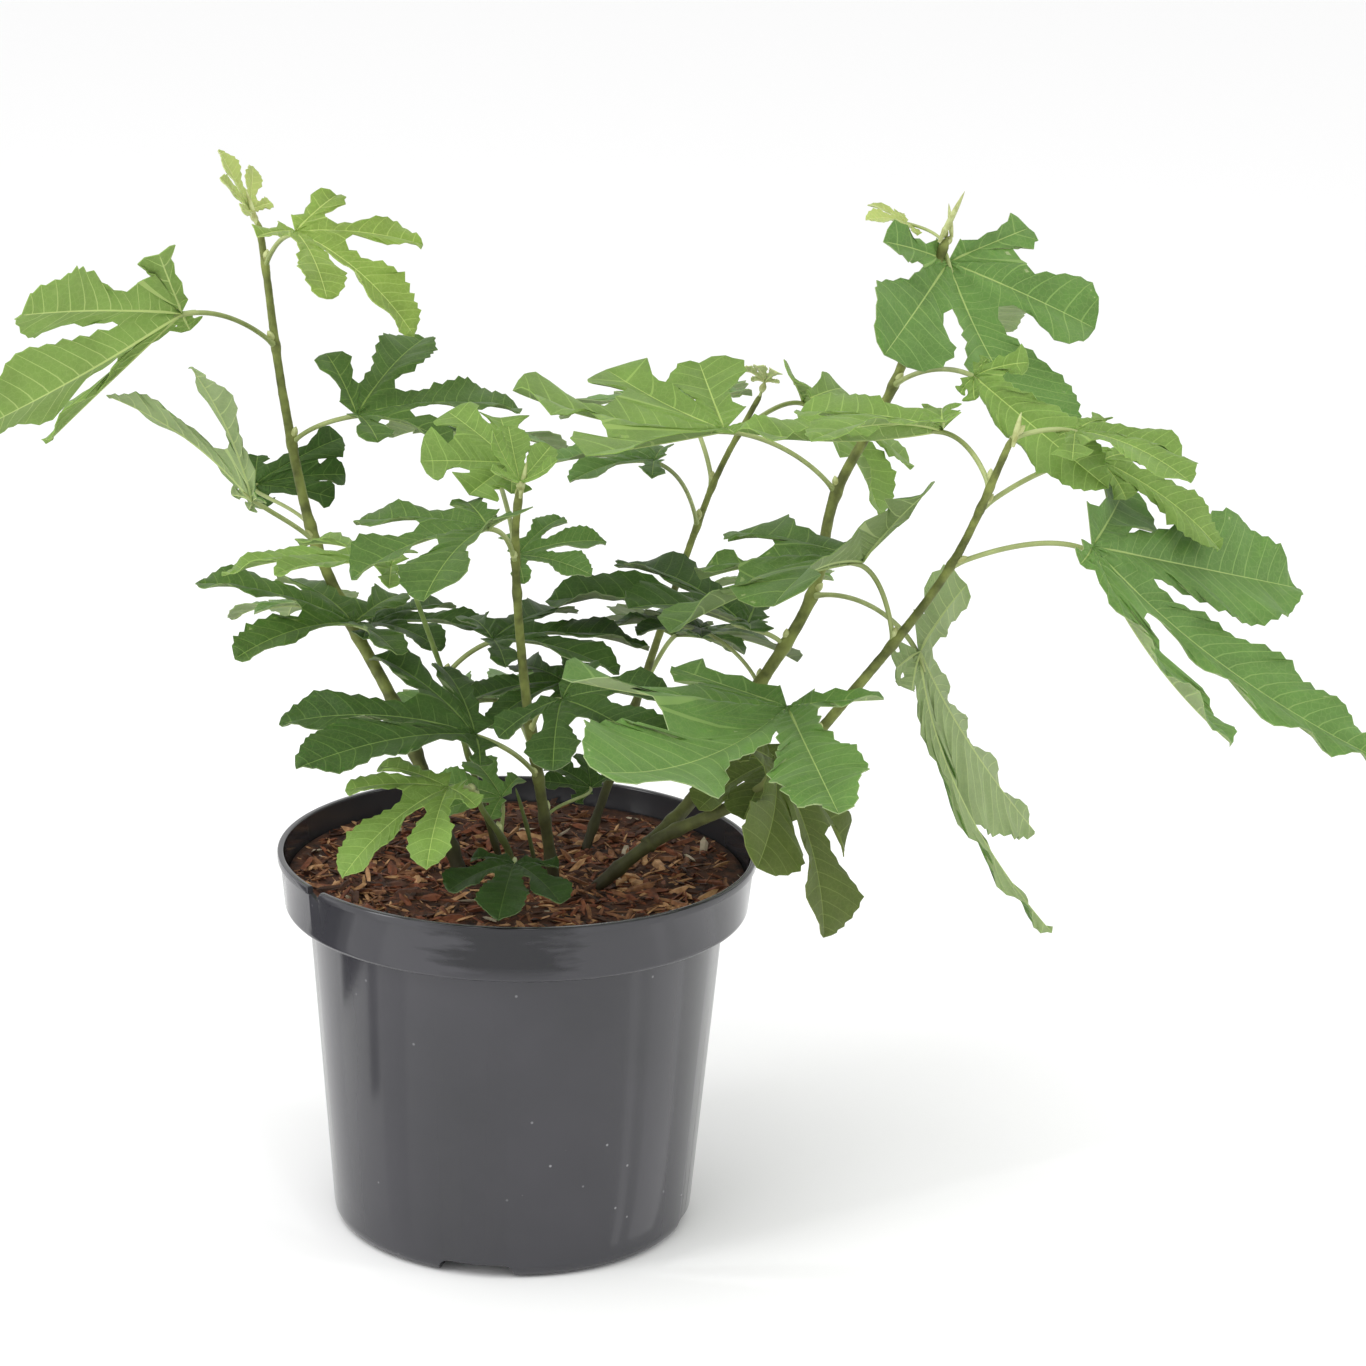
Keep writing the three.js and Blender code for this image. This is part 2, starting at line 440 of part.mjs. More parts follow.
// Where a flat point of one lobe, so far along its vein and so far across it, goes once the lobe is
// lifted at its foot, drooped along its vein, folded up on both sides of it and twisted round it.
function lobePoint(leaf, axes, lobe, along, across) {
  const heading = THREE.MathUtils.degToRad(leaf.headings[lobe]);
  const lift = THREE.MathUtils.degToRad(leaf.lifts[lobe]);
  const droop = THREE.MathUtils.degToRad(leaf.droops[lobe]);
  const reach = reachOf(leaf, lobe);
  const settled = THREE.MathUtils.smoothstep(along, reach * TWIST_START, reach * TWIST_END);
  const twist = THREE.MathUtils.degToRad(leaf.twists[lobe]) * settled;
  const fold = THREE.MathUtils.degToRad(LOBE_FOLD) * Math.sign(across) + twist;
  const bend = droop / reach;
  const slope = lift - bend * along;
  const out = Math.abs(bend) < STRAIGHT ? Math.cos(lift) * along : (Math.sin(lift) - Math.sin(slope)) / bend;
  const rise = Math.abs(bend) < STRAIGHT ? Math.sin(lift) * along : (Math.cos(slope) - Math.cos(lift)) / bend;
  const raised = across * Math.sin(fold);
  const ahead = out - raised * Math.sin(slope);
  const above = rise + raised * Math.cos(slope);
  const aside = across * Math.cos(fold);
  const forward = ahead * Math.cos(heading) - aside * Math.sin(heading);
  const left = ahead * Math.sin(heading) + aside * Math.cos(heading);
  return new THREE.Vector3(...leaf.foot)
    .addScaledVector(axes.forward, forward)
    .addScaledVector(axes.left, left)
    .addScaledVector(axes.up, above);
}

// A flat point between two lobes' veins belongs to both, by how near it lies to each.
function bladePoint(leaf, axes, x, y) {
  const heading = THREE.MathUtils.radToDeg(Math.atan2(y, x));
  const radius = Math.hypot(x, y);
  let lobe = 0;
  while (lobe < 3 && heading < leaf.headings[lobe + 1]) lobe += 1;
  const between = (leaf.headings[lobe] - heading) / (leaf.headings[lobe] - leaf.headings[lobe + 1]);
  const share = THREE.MathUtils.smoothstep(between, BLEND_START, BLEND_END);
  const onLobe = (index) => {
    const off = THREE.MathUtils.degToRad(heading - leaf.headings[index]);
    return lobePoint(leaf, axes, index, radius * Math.cos(off), radius * Math.sin(off));
  };
  return onLobe(lobe).lerp(onLobe(lobe + 1), share);
}

// The blade's flat corners and faces. Each lobe runs from the two sinuses beside it through its
// stations to its tip, with a row of three corners, left, vein and right, at each.
function flatBlade(leaf) {
  const corners = [[0, 0]];
  const faces = [];
  const rim = [];
  const corner = (heading, along, across) => {
    const turn = THREE.MathUtils.degToRad(heading);
    corners.push([
      along * Math.cos(turn) - across * Math.sin(turn),
      along * Math.sin(turn) + across * Math.cos(turn),
    ]);
    return corners.length - 1;
  };
  const edges = [REAR_HEADING];
  for (let lobe = 0; lobe < 4; lobe += 1) edges.push((leaf.headings[lobe] + leaf.headings[lobe + 1]) / 2);
  edges.push(-REAR_HEADING);
  const depths = leaf.sinuses.map((depth, i) => {
    const beside = Math.min(leaf.lobes[Math.max(i - 1, 0)], leaf.lobes[Math.min(i, 4)]);
    return leaf.length * Math.min(depth, DEEPEST_SINUS * beside);
  });
  const sinuses = edges.map((heading, i) => corner(heading, depths[i], 0));
  leaf.headings.forEach((heading, lobe) => {
    const reach = reachOf(leaf, lobe);
    const grown = Math.min(1, leaf.lobes[lobe]);
    const fullness = THREE.MathUtils.lerp(SHORT_LOBE_FULLNESS, LONG_LOBE_FULLNESS, grown);
    const width = leaf.width * leaf.length * leaf.widths[lobe] * fullness;
    const start = Math.max(depths[lobe], depths[lobe + 1]);
    const rows = [[sinuses[lobe], corner(heading, start, 0), sinuses[lobe + 1]]];
    const stations = reach < SMALL_REACH ? SMALL_LOBE : LARGE_LOBE;
    for (const [share, part] of stations) {
      const along = THREE.MathUtils.lerp(start, reach, share);
      const half = width * part;
      rows.push([corner(heading, along, half), corner(heading, along, 0), corner(heading, along, -half)]);
    }
    const tip = corner(heading, reach, 0);
    faces.push([0, rows[0][1], rows[0][0]], [0, rows[0][2], rows[0][1]]);
    for (let row = 0; row + 1 < rows.length; row += 1) {
      const [left, vein, right] = rows[row];
      const [nextLeft, nextVein, nextRight] = rows[row + 1];
      faces.push([left, vein, nextVein], [left, nextVein, nextLeft]);
      faces.push([vein, right, nextVein], [right, nextRight, nextVein]);
    }
    const last = rows[rows.length - 1];
    faces.push([last[0], last[1], tip], [last[1], last[2], tip]);
    rim.push(...rows.map((row) => row[0]), tip, ...rows.slice(1).map((row) => row[2]).reverse());
  });
  rim.push(sinuses[sinuses.length - 1], 0);
  return { corners, faces, rim };
}

// The blade as a closed sheet of even thickness round its bent middle surface.
function blade(leaf, axes) {
  const { corners, faces, rim } = flatBlade(leaf);
  const half = Math.max(leaf.length * LEAF_THICKNESS, LEAST_THICKNESS) / 2;
  const step = 0.5;
  const upper = [];
  const lower = [];
  for (const [x, y] of corners) {
    const here = bladePoint(leaf, axes, x, y);
    const ahead = bladePoint(leaf, axes, x + step, y).sub(bladePoint(leaf, axes, x - step, y));
    const aside = bladePoint(leaf, axes, x, y + step).sub(bladePoint(leaf, axes, x, y - step));
    const normal = ahead.cross(aside).normalize().multiplyScalar(half);
    upper.push(here.clone().add(normal));
    lower.push(here.clone().sub(normal));
  }
  const under = corners.length;
  const index = [];
  for (const [a, b, c] of faces) {
    index.push(a, b, c, under + a, under + c, under + b);
  }
  rim.forEach((corner, i) => {
    const next = rim[(i + 1) % rim.length];
    index.push(corner, next, under + next, corner, under + next, under + corner);
  });
  const geometry = new THREE.BufferGeometry().setFromPoints([...upper, ...lower]);
  geometry.setIndex(index);
  return solidOf(geometry);
}

// The stalk leaves its stem steeply, arches over and runs a little way under the blade as its rib.
function stalk(leaf, axes, node) {
  const foot = new THREE.Vector3(...leaf.foot);
  const span = node.point.distanceTo(foot);
  const rib = foot.clone().addScaledVector(axes.forward, leaf.length * STALK_SUNK);
  const away = foot.clone().sub(node.point).normalize().add(node.tangent).normalize();
  const curve = new THREE.CubicBezierCurve3(
    node.point,
    node.point.clone().addScaledVector(away, span * STALK_RISE),
    foot.clone().addScaledVector(axes.forward, -span * STALK_ARCH),
    rib,
  );
  const section = new THREE.Shape();
  const growth = Math.min(1, leaf.length / FULL_STALK_LEAF);
  const radius = (STALK_THICKNESS / 2) * THREE.MathUtils.lerp(SLIMMEST_STALK, 1, growth);
  for (let side = 0; side < STALK_SIDES; side += 1) {
    const turn = (2 * Math.PI * side) / STALK_SIDES;
    if (side === 0) section.moveTo(radius, 0);
    else section.lineTo(radius * Math.cos(turn), radius * Math.sin(turn));
  }
  const path = { steps: STALK_STEPS, extrudePath: curve, bevelEnabled: false };
  return solidOf(new THREE.ExtrudeGeometry(section, path));
}

const group = new THREE.Group();
group.add(pot(), mulch());

const below = belowMulch();
const clearances = {};
for (const stem of STEMS) {
  let limb = limbRod(stem, 0).subtract(below);
  if (stem.from) limb = limb.subtract(clearances[stem.from]);
  clearances[stem.name] = limbRod(stem, GAP);
  group.add(meshOf(stem.name, limb, BARK[stem.bark], BARK_ROUGHNESS));
}

const USUAL_LEAF = {
  width: 1,
  sinuses: SINUS_DEPTHS,
  widths: LOBE_WIDTHS,
  headings: LOBE_HEADINGS,
  lobes: LOBE_LENGTHS,
  lifts: LOBE_LIFTS,
  droops: LOBE_DROOPS,
  twists: LOBE_TWISTS,
};
for (const entry of LEAVES) {
  const leaf = { ...USUAL_LEAF, ...entry };
  const axes = bladeAxes(leaf);
  const stem = STEMS.find((candidate) => candidate.name === leaf.stem);
  const node = pointOnLimb(stem, leaf.at);
  const whole = blade(leaf, axes).add(stalk(leaf, axes, node)).subtract(clearances[leaf.stem]);
  group.add(meshOf(leaf.name, whole, UPPER[leaf.tone], LEAF_ROUGHNESS));
}

export default group;
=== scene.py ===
import math
import random

import bpy
import numpy as np
from mathutils import Matrix, Vector, noise


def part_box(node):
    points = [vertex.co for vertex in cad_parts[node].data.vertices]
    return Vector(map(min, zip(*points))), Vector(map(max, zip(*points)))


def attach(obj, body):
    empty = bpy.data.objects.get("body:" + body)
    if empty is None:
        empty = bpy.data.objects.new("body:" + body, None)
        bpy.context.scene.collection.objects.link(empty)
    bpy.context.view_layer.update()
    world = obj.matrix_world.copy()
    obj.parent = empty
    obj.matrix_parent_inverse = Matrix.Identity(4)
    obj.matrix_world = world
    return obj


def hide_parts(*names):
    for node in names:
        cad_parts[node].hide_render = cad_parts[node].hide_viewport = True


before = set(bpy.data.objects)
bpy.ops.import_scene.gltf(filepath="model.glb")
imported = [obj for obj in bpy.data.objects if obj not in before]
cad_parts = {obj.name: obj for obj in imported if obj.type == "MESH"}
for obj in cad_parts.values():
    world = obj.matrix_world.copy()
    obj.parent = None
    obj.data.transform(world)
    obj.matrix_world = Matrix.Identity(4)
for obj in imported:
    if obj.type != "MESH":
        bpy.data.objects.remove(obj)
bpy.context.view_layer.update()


# Camera: stands in front of the plant, well above its top and a little right of the pot, and looks down on
# it through a long lens. It leans by a degree and a half.
EYE = (0.0768, -1.8, 0.792)
LOOK_DOWN = math.radians(16.2)
LEAN = math.radians(1.53)
FRAME_PIXELS = 1366
FOCAL_PIXELS = 3972
SENSOR = 36

bpy.ops.object.camera_add(location=EYE)
camera = bpy.context.object
turn = Matrix.Rotation(math.pi / 2 - LOOK_DOWN, 3, "X") @ Matrix.Rotation(LEAN, 3, "Z")
camera.rotation_euler = turn.to_euler()
camera.data.sensor_width = SENSOR
camera.data.lens = SENSOR * FOCAL_PIXELS / FRAME_PIXELS
bpy.context.scene.camera = camera


# Studio: a plain pale floor under an even white room, a large soft light overhead and a tall soft panel
# on each side, which draw the soft upright reflections down the pot.
FLOOR_SIZE = 24
FLOOR_PALE = (0.95, 0.95, 0.95, 1)
FLOOR_ROUGHNESS = 0.9
ROOM_LIGHT = 1
BLACK = (0, 0, 0, 1)
WHITE = (1, 1, 1, 1)
PANELS = [
    dict(name="overhead", at=(-0.5, -1.2, 2.4), size=(2.4, 1.8), watts=26),
    dict(name="left_panel", at=(-1.9, -1.0, 0.7), size=(0.5, 2.0), watts=16),
    dict(name="right_panel", at=(2.2, -0.5, 0.8), size=(0.5, 2.0), watts=12),
]
AIMED_AT = Vector((0, 0, 0.25))


def feed(tree, node, inputs):
    """Fill a shader node's inputs: the output of another node is linked, and any other value is set."""
    for name, value in inputs.items():
        if isinstance(value, bpy.types.NodeSocket):
            tree.links.new(value, node.inputs[name])
        else:
            node.inputs[name].default_value = value


def feed_shader(finish, inputs):
    """Fill inputs of the shader that a finish ends in."""
    feed(finish.node_tree, finish.node_tree.nodes["Principled BSDF"], inputs)


def plain_finish(name, colour, roughness):
    finish = bpy.data.materials.new(name)
    finish.use_nodes = True
    feed_shader(finish, {"Base Color": colour, "Roughness": roughness})
    return finish


bpy.ops.object.select_all(action="DESELECT")
bpy.ops.mesh.primitive_plane_add(size=FLOOR_SIZE)
floor = bpy.context.object
floor.name = "floor"
floor.data.materials.append(plain_finish("pale floor", FLOOR_PALE, FLOOR_ROUGHNESS))

room = bpy.data.worlds.new("white room")
bpy.context.scene.world = room
room.use_nodes = True
feed(room.node_tree, room.node_tree.nodes["Background"], {"Color": WHITE, "Strength": ROOM_LIGHT})
bpy.context.scene.view_settings.view_transform = "Standard"

for panel in PANELS:
    bpy.ops.object.light_add(type="AREA", location=panel["at"])
    light = bpy.context.object
    light.name = panel["name"]
    light.data.shape = "RECTANGLE"
    light.data.size, light.data.size_y = panel["size"]
    light.data.energy = panel["watts"]
    light.rotation_euler = (AIMED_AT - light.location).to_track_quat("-Z", "Y").to_euler()

# Reflector cards lie on the floor beside the pot, out of the camera's sight, and draw upright bands of
# light and dark down its sides. Each reaches out between the two headings that mirror its edges.
CARD_LIFT = 0.001
CARD_RADIUS = 0.1
CARDS = [
    dict(name="left_pale_inner", facing=(-35, -45), reach=(0, 0.8), glow=0.9),
    dict(name="left_pale_outer", facing=(-64, -80), reach=(0, 0.8), glow=0.95),
    dict(name="left_dark", facing=(-50, -62), reach=(0.18, 0.8), glow=0),
    dict(name="left_dim", facing=(-46, -50), reach=(0.1, 0.5), glow=0.3),
    dict(name="right_pale_inner", facing=(40, 43.5), reach=(0, 0.8), glow=1.35),
    dict(name="right_pale_outer", facing=(48, 62), reach=(0, 0.8), glow=1.2),
]


def mirrored_spot(facing, reach):
    """Where on the floor a sight line ends that the wall turns aside, so far out from the wall."""
    turn = math.radians(facing)
    x = CARD_RADIUS * math.sin(turn) + reach * math.sin(2 * turn)
    y = -CARD_RADIUS * math.cos(turn) - reach * math.cos(2 * turn)
    return (x, y, CARD_LIFT)


for card in CARDS:
    bpy.ops.mesh.primitive_plane_add()
    piece = bpy.context.object
    piece.name = card["name"]
    near, far = card["reach"]
    first, last = card["facing"]
    spots = [(first, near), (last, near), (first, far), (last, far)]
    for corner, spot in zip(piece.data.vertices, spots):
        corner.co = mirrored_spot(*spot)
    glowing = plain_finish(card["name"], BLACK, 1)
    feed_shader(glowing, {"Emission Color": WHITE, "Emission Strength": card["glow"]})
    piece.data.materials.append(glowing)
    piece.visible_camera = False
    piece.visible_diffuse = False
    piece.visible_shadow = False


# Pot: a thin moulded nursery pot of about five litres in charcoal plastic, with a deep collar under its
# rim, a foot ring cut by four arches, a flat pad in the middle and drain holes between them.
RIM_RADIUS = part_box("pot")[1][0]
POT_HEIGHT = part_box("pot")[1][2]
WALL = 0.0018
COLLAR_HEIGHT = 0.028
COLLAR_FOOT = POT_HEIGHT - COLLAR_HEIGHT
COLLAR_FOOT_RADIUS = RIM_RADIUS - 0.0035
COLLAR_ROUND = 0.003
WALL_TOP_RADIUS = 0.0995
WALL_FOOT_RADIUS = 0.087
FOOT_ROUND = 0.007
FOOT_WIDTH = 0.005
SKIRT_RADIUS = WALL_FOOT_RADIUS - FOOT_ROUND
FLOOR_LIFT = 0.008
FLOOR_THICKNESS = 0.002
PAD_RADIUS = 0.024
PAD_TAPER = 0.002
RIM_BEAD = 0.0012
RIM_LIP = 0.0035
RIM_ROUND = 0.0008
POT_STEPS = 160
ROUND_STEPS = 5
WELD_REACH = 1e-6
# What is cut out of the pot.
ARCHES = 4
ARCH_WIDTH = 0.036
ARCH_HEIGHT = 0.0075
ARCH_DEPTH = 0.02
ARCH_ROUND = 0.7
FIRST_ARCH = math.radians(-99)
DRAIN_HOLES = 8
DRAIN_RADIUS = 0.005
DRAIN_CIRCLE = 0.056
DRAIN_SIDES = 24
NOTCH_DEPTH = 0.006
NOTCH_SIDES = 5
NOTCH_TILT = 0.35
NOTCH_HEADING = math.radians(-143)
# How its edges and its surface are finished, with specks of dirt all over and a painted dark reflection on
# the front of the collar.
MOULD_EDGE = 0.0004
MOULD_EDGE_STEPS = 2
MOULD_EDGE_ANGLE = math.radians(40)
POT_SMOOTH_ANGLE = math.radians(35)
CLOUD_DETAIL = 4
GRAIN_DETAIL = 3
GLOW_DEPTH = 0.002
GLOW_COLOUR = (0.5, 1, 0.2)
SPECK_SCALE = 90
SPECK_EDGE = (0.04, 0.07)
SPECK_GROUP_SCALE = 14
SPECK_GROUP_EDGE = (0.5, 0.62)
SPECK_PALE = (0.24, 0.24, 0.25, 1)
# The painted dark reflection on the collar: how far it reaches to each side, its ragged and soft ends, how it
# fades in above the collar's foot, its streaks and its colour.
PAINTED_REFLECTION_REACH = 0.046
PAINTED_REFLECTION_RAGGED = 0.06
PAINTED_REFLECTION_SOFT = 0.016
PAINTED_REFLECTION_FADE = 0.008
PAINTED_REFLECTION_STREAKS = (40, 40, 260)
PAINTED_REFLECTION_DARK = (0.006, 0.006, 0.009, 1)


def select_only(*pieces):
    """Select these pieces and no others, with the first one active."""
    bpy.ops.object.select_all(action="DESELECT")
    for piece in pieces:
        piece.select_set(True)
    bpy.context.view_layer.objects.active = pieces[0]


def reshape(piece, kind, **settings):
    """Apply one modifier to a piece, with these settings."""
    modifier = piece.modifiers.new(kind.lower(), kind)
    for name, value in settings.items():
        setattr(modifier, name, value)
    bpy.ops.object.modifier_apply(modifier=modifier.name)


def close_up():
    """Finish the piece in edit mode: weld corners that coincide and turn its faces outwards."""
    bpy.ops.mesh.select_all(action="SELECT")
    bpy.ops.mesh.remove_doubles(threshold=WELD_REACH)
    bpy.ops.mesh.delete_loose()
    bpy.ops.mesh.select_all(action="SELECT")
    bpy.ops.mesh.normals_make_consistent(inside=False)
    bpy.ops.object.mode_set(mode="OBJECT")


def arc(centre, radius, start, end):
    """Points round part of a circle in a profile, from one angle in degrees to another."""
    points = []
    for step in range(ROUND_STEPS + 1):
        turn = math.radians(start + (end - start) * step / ROUND_STEPS)
        points.append((centre[0] + radius * math.cos(turn), centre[1] + radius * math.sin(turn)))
    return points


def spun(name, profile, steps):
    """A closed turned piece: one corner drawn out along the profile, then spun round the upright axis."""
    bpy.ops.object.select_all(action="DESELECT")
    bpy.ops.mesh.primitive_plane_add()
    piece = bpy.context.object
    piece.name = name
    bpy.ops.object.mode_set(mode="EDIT")
    bpy.ops.mesh.merge(type="CENTER")
    at = Vector((0, 0, 0))
    for radius, height in profile:
        corner = Vector((radius, 0, height))
        if corner != at:
            bpy.ops.mesh.extrude_region_move(TRANSFORM_OT_translate={"value": corner - at})
        at = corner
    bpy.ops.mesh.select_all(action="SELECT")
    bpy.ops.mesh.spin(steps=steps, angle=2 * math.pi, center=(0, 0, 0), axis=(0, 0, 1))
    close_up()
    return piece


def wall_radius(height):
    share = (height - FOOT_ROUND) / (COLLAR_FOOT - FOOT_ROUND)
    return WALL_FOOT_RADIUS + share * (WALL_TOP_RADIUS - WALL_FOOT_RADIUS)


def pot_profile():
    ledge = COLLAR_FOOT + WALL
    floor_top = FLOOR_LIFT + FLOOR_THICKNESS
    inner_rim = RIM_RADIUS - RIM_BEAD - WALL
    return [
        (0, 0),
        (PAD_RADIUS, 0),
        (PAD_RADIUS + PAD_TAPER, FLOOR_LIFT),
        (SKIRT_RADIUS - FOOT_WIDTH, FLOOR_LIFT),
        (SKIRT_RADIUS - FOOT_WIDTH, 0),
        *arc((SKIRT_RADIUS, FOOT_ROUND), FOOT_ROUND, -90, 0),
        (wall_radius(COLLAR_FOOT), COLLAR_FOOT),
        *arc((COLLAR_FOOT_RADIUS - COLLAR_ROUND, COLLAR_FOOT + COLLAR_ROUND), COLLAR_ROUND, -90, 0),
        (RIM_RADIUS - RIM_BEAD, POT_HEIGHT - RIM_LIP),
        (RIM_RADIUS, POT_HEIGHT - RIM_LIP),
        *arc((RIM_RADIUS - RIM_ROUND, POT_HEIGHT - RIM_ROUND), RIM_ROUND, 0, 90),
        *arc((inner_rim + RIM_ROUND, POT_HEIGHT - RIM_ROUND), RIM_ROUND, 90, 180),
        (COLLAR_FOOT_RADIUS - WALL, ledge + COLLAR_ROUND),
        (wall_radius(ledge) - WALL, ledge),
        (wall_radius(floor_top) - WALL, floor_top),
        (0, floor_top),
    ]


def cut_away(piece, cutters):
    """Take the cutters out of the piece, with one boolean for all of them."""
    select_only(*cutters)
    bpy.ops.object.join()
    cutter = bpy.context.object
    select_only(piece)
    reshape(piece, "BOOLEAN", operation="DIFFERENCE", solver="EXACT", object=cutter)
    bpy.data.objects.remove(cutter)


def around(radius, heading, height):
    return (radius * math.cos(heading), radius * math.sin(heading), height)


def pot_cutters():
    """The foot arches, the drain holes and the notch in the rim, each longer than what it cuts."""
    cutters = []
    for arch in range(ARCHES):
        heading = FIRST_ARCH + 2 * math.pi * arch / ARCHES
        place = around(SKIRT_RADIUS, heading, 0)
        bpy.ops.mesh.primitive_cube_add(size=1, location=place, rotation=(0, 0, heading))
        opening = bpy.context.object
        opening.scale = (ARCH_DEPTH, ARCH_WIDTH, 2 * ARCH_HEIGHT)
        bpy.ops.object.transform_apply(location=False, rotation=False, scale=True)
        reshape(opening, "BEVEL", width=ARCH_ROUND * ARCH_HEIGHT, segments=ROUND_STEPS)
        cutters.append(opening)
    for hole in range(DRAIN_HOLES):
        heading = 2 * math.pi * (hole + 0.5) / DRAIN_HOLES
        bpy.ops.mesh.primitive_cylinder_add(
            vertices=DRAIN_SIDES,
            radius=DRAIN_RADIUS,
            depth=3 * FLOOR_THICKNESS,
            location=around(DRAIN_CIRCLE, heading, FLOOR_LIFT + FLOOR_THICKNESS / 2),
        )
        cutters.append(bpy.context.object)
    bpy.ops.mesh.primitive_cylinder_add(
        vertices=NOTCH_SIDES,
        radius=NOTCH_DEPTH,
        depth=8 * WALL,
        location=around(RIM_RADIUS - WALL, NOTCH_HEADING, POT_HEIGHT),
        rotation=(math.pi / 2, NOTCH_TILT, NOTCH_HEADING + math.pi / 2),
    )
    cutters.append(bpy.context.object)
    return cutters


def add_node(finish, kind, inputs, **settings):
    """One more shader node in a finish, with its own settings and its inputs filled."""
    made = finish.node_tree.nodes.new("ShaderNode" + kind)
    for name, value in settings.items():
        setattr(made, name, value)
    feed(finish.node_tree, made, inputs)
    return made


def add_ramp(finish, share, marks, colours, name="ramp"):
    """The colour that a share stands for, drifting from one to another between two marks."""
    ramp = add_node(finish, "ValToRGB", {"Fac": share}, name=name)
    for element, mark, colour in zip(ramp.color_ramp.elements, marks, colours):
        element.position = mark
        element.color = colour
    return ramp.outputs["Color"]


def multiplied(finish, one, other):
    return add_node(finish, "Math", {0: one, 1: other}, operation="MULTIPLY").outputs["Value"]


def mixed(finish, share, below, above):
    """The colour below with a share of the colour above laid over it."""
    mix = add_node(finish, "Mix", {"Factor": share, "A": below, "B": above}, data_type="RGBA")
    return mix.outputs["Result"]


def place_in(finish):
    """Where on the piece a spot of a mottled finish lies."""
    return finish.node_tree.nodes["place"].outputs["Object"]


def colour_in(finish):
    """The drifting colour of a mottled finish."""
    return finish.node_tree.nodes["colour"].outputs["Color"]


def mottled(name, dark, light, patch, roughness, grain=0.0, grain_size=0.002, contrast=0.3, glow=0.0):
    """A finish whose colour drifts between two tones in soft patches, with a fine grain and a glow if any."""
    finish = plain_finish(name, light, roughness)
    place = add_node(finish, "TexCoord", {}, name="place").outputs["Object"]
    cloud = add_node(finish, "TexNoise", {"Vector": place, "Scale": 1 / patch, "Detail": CLOUD_DETAIL})
    marks = (0.5 - contrast / 2, 0.5 + contrast / 2)
    colour = add_ramp(finish, cloud.outputs["Fac"], marks, (dark, light), name="colour")
    feed_shader(finish, {"Base Color": colour})
    if grain:
        pattern = {"Vector": place, "Scale": 1 / grain_size, "Detail": GRAIN_DETAIL}
        height = add_node(finish, "TexNoise", pattern).outputs["Fac"]
        relief = {"Height": height, "Distance": grain, "Strength": 1}
        bump = add_node(finish, "Bump", relief, name="grain")
        feed_shader(finish, {"Normal": bump.outputs["Normal"]})
    if glow:
        depth = {"Subsurface Scale": GLOW_DEPTH, "Subsurface Radius": GLOW_COLOUR}
        feed_shader(finish, {"Subsurface Weight": glow, **depth})
    return finish


def add_specks(finish):
    """A few pale specks of dirt, gathered in loose groups."""
    place = place_in(finish)
    dust = add_node(finish, "TexVoronoi", {"Vector": place, "Scale": SPECK_SCALE, "Randomness": 1})
    drift = add_node(finish, "TexNoise", {"Vector": place, "Scale": SPECK_GROUP_SCALE})
    speck = add_ramp(finish, dust.outputs["Distance"], SPECK_EDGE, (WHITE, BLACK))
    group = add_ramp(finish, drift.outputs["Fac"], SPECK_GROUP_EDGE, (BLACK, WHITE))
    return mixed(finish, multiplied(finish, speck, group), colour_in(finish), SPECK_PALE)


def add_painted_reflection(finish, colour):
    """A painted dark reflection across the front of the collar, with ragged streaked ends."""
    place = place_in(finish)
    split = add_node(finish, "SeparateXYZ", {"Vector": place})
    stretched = add_node(finish, "Mapping", {"Vector": place, "Scale": PAINTED_REFLECTION_STREAKS})
    pattern = {"Vector": stretched.outputs["Vector"], "Scale": 1, "Detail": GRAIN_DETAIL}
    streaks = add_node(finish, "TexNoise", pattern)
    aside = add_node(finish, "Math", {0: split.outputs["X"]}, operation="ABSOLUTE")
    spread = {0: streaks.outputs["Fac"], 1: PAINTED_REFLECTION_RAGGED, 2: aside.outputs["Value"]}
    ragged = add_node(finish, "Math", spread, operation="MULTIPLY_ADD")
    ends = {"From Min": PAINTED_REFLECTION_REACH, "From Max": PAINTED_REFLECTION_REACH + PAINTED_REFLECTION_SOFT, "To Min": 1, "To Max": 0}
    reflection_span = add_node(finish, "MapRange", {"Value": ragged.outputs["Value"], **ends})
    depth = {"From Min": -COLLAR_FOOT_RADIUS / 2, "From Max": 0, "To Min": 1, "To Max": 0}
    front = add_node(finish, "MapRange", {"Value": split.outputs["Y"], **depth})
    height = {"From Min": COLLAR_FOOT, "From Max": COLLAR_FOOT + PAINTED_REFLECTION_FADE}
    collar = add_node(finish, "MapRange", {"Value": split.outputs["Z"], **height})
    above = multiplied(finish, reflection_span.outputs["Result"], collar.outputs["Result"])
    painted_reflection = multiplied(finish, above, front.outputs["Result"])
    feed_shader(finish, {"Base Color": mixed(finish, painted_reflection, colour, PAINTED_REFLECTION_DARK)})


pot = spun("nursery_pot", pot_profile(), POT_STEPS)
cut_away(pot, pot_cutters())
reshape(
    pot,
    "BEVEL",
    width=MOULD_EDGE,
    segments=MOULD_EDGE_STEPS,
    limit_method="ANGLE",
    angle_limit=MOULD_EDGE_ANGLE,
)
bpy.ops.object.shade_smooth_by_angle(angle=POT_SMOOTH_ANGLE)
charcoal = mottled(
    "charcoal plastic",
    dark=(0.034, 0.034, 0.039, 1),
    light=(0.043, 0.042, 0.049, 1),
    patch=0.08,
    roughness=0.14,
    grain=0.00002,
    grain_size=0.004,
)
# Pale specks of dirt, then a painted dark reflection on the front of the collar, both in the base colour.
add_painted_reflection(charcoal, add_specks(charcoal))
pot.data.materials.append(charcoal)
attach(pot, "root")
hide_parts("pot")


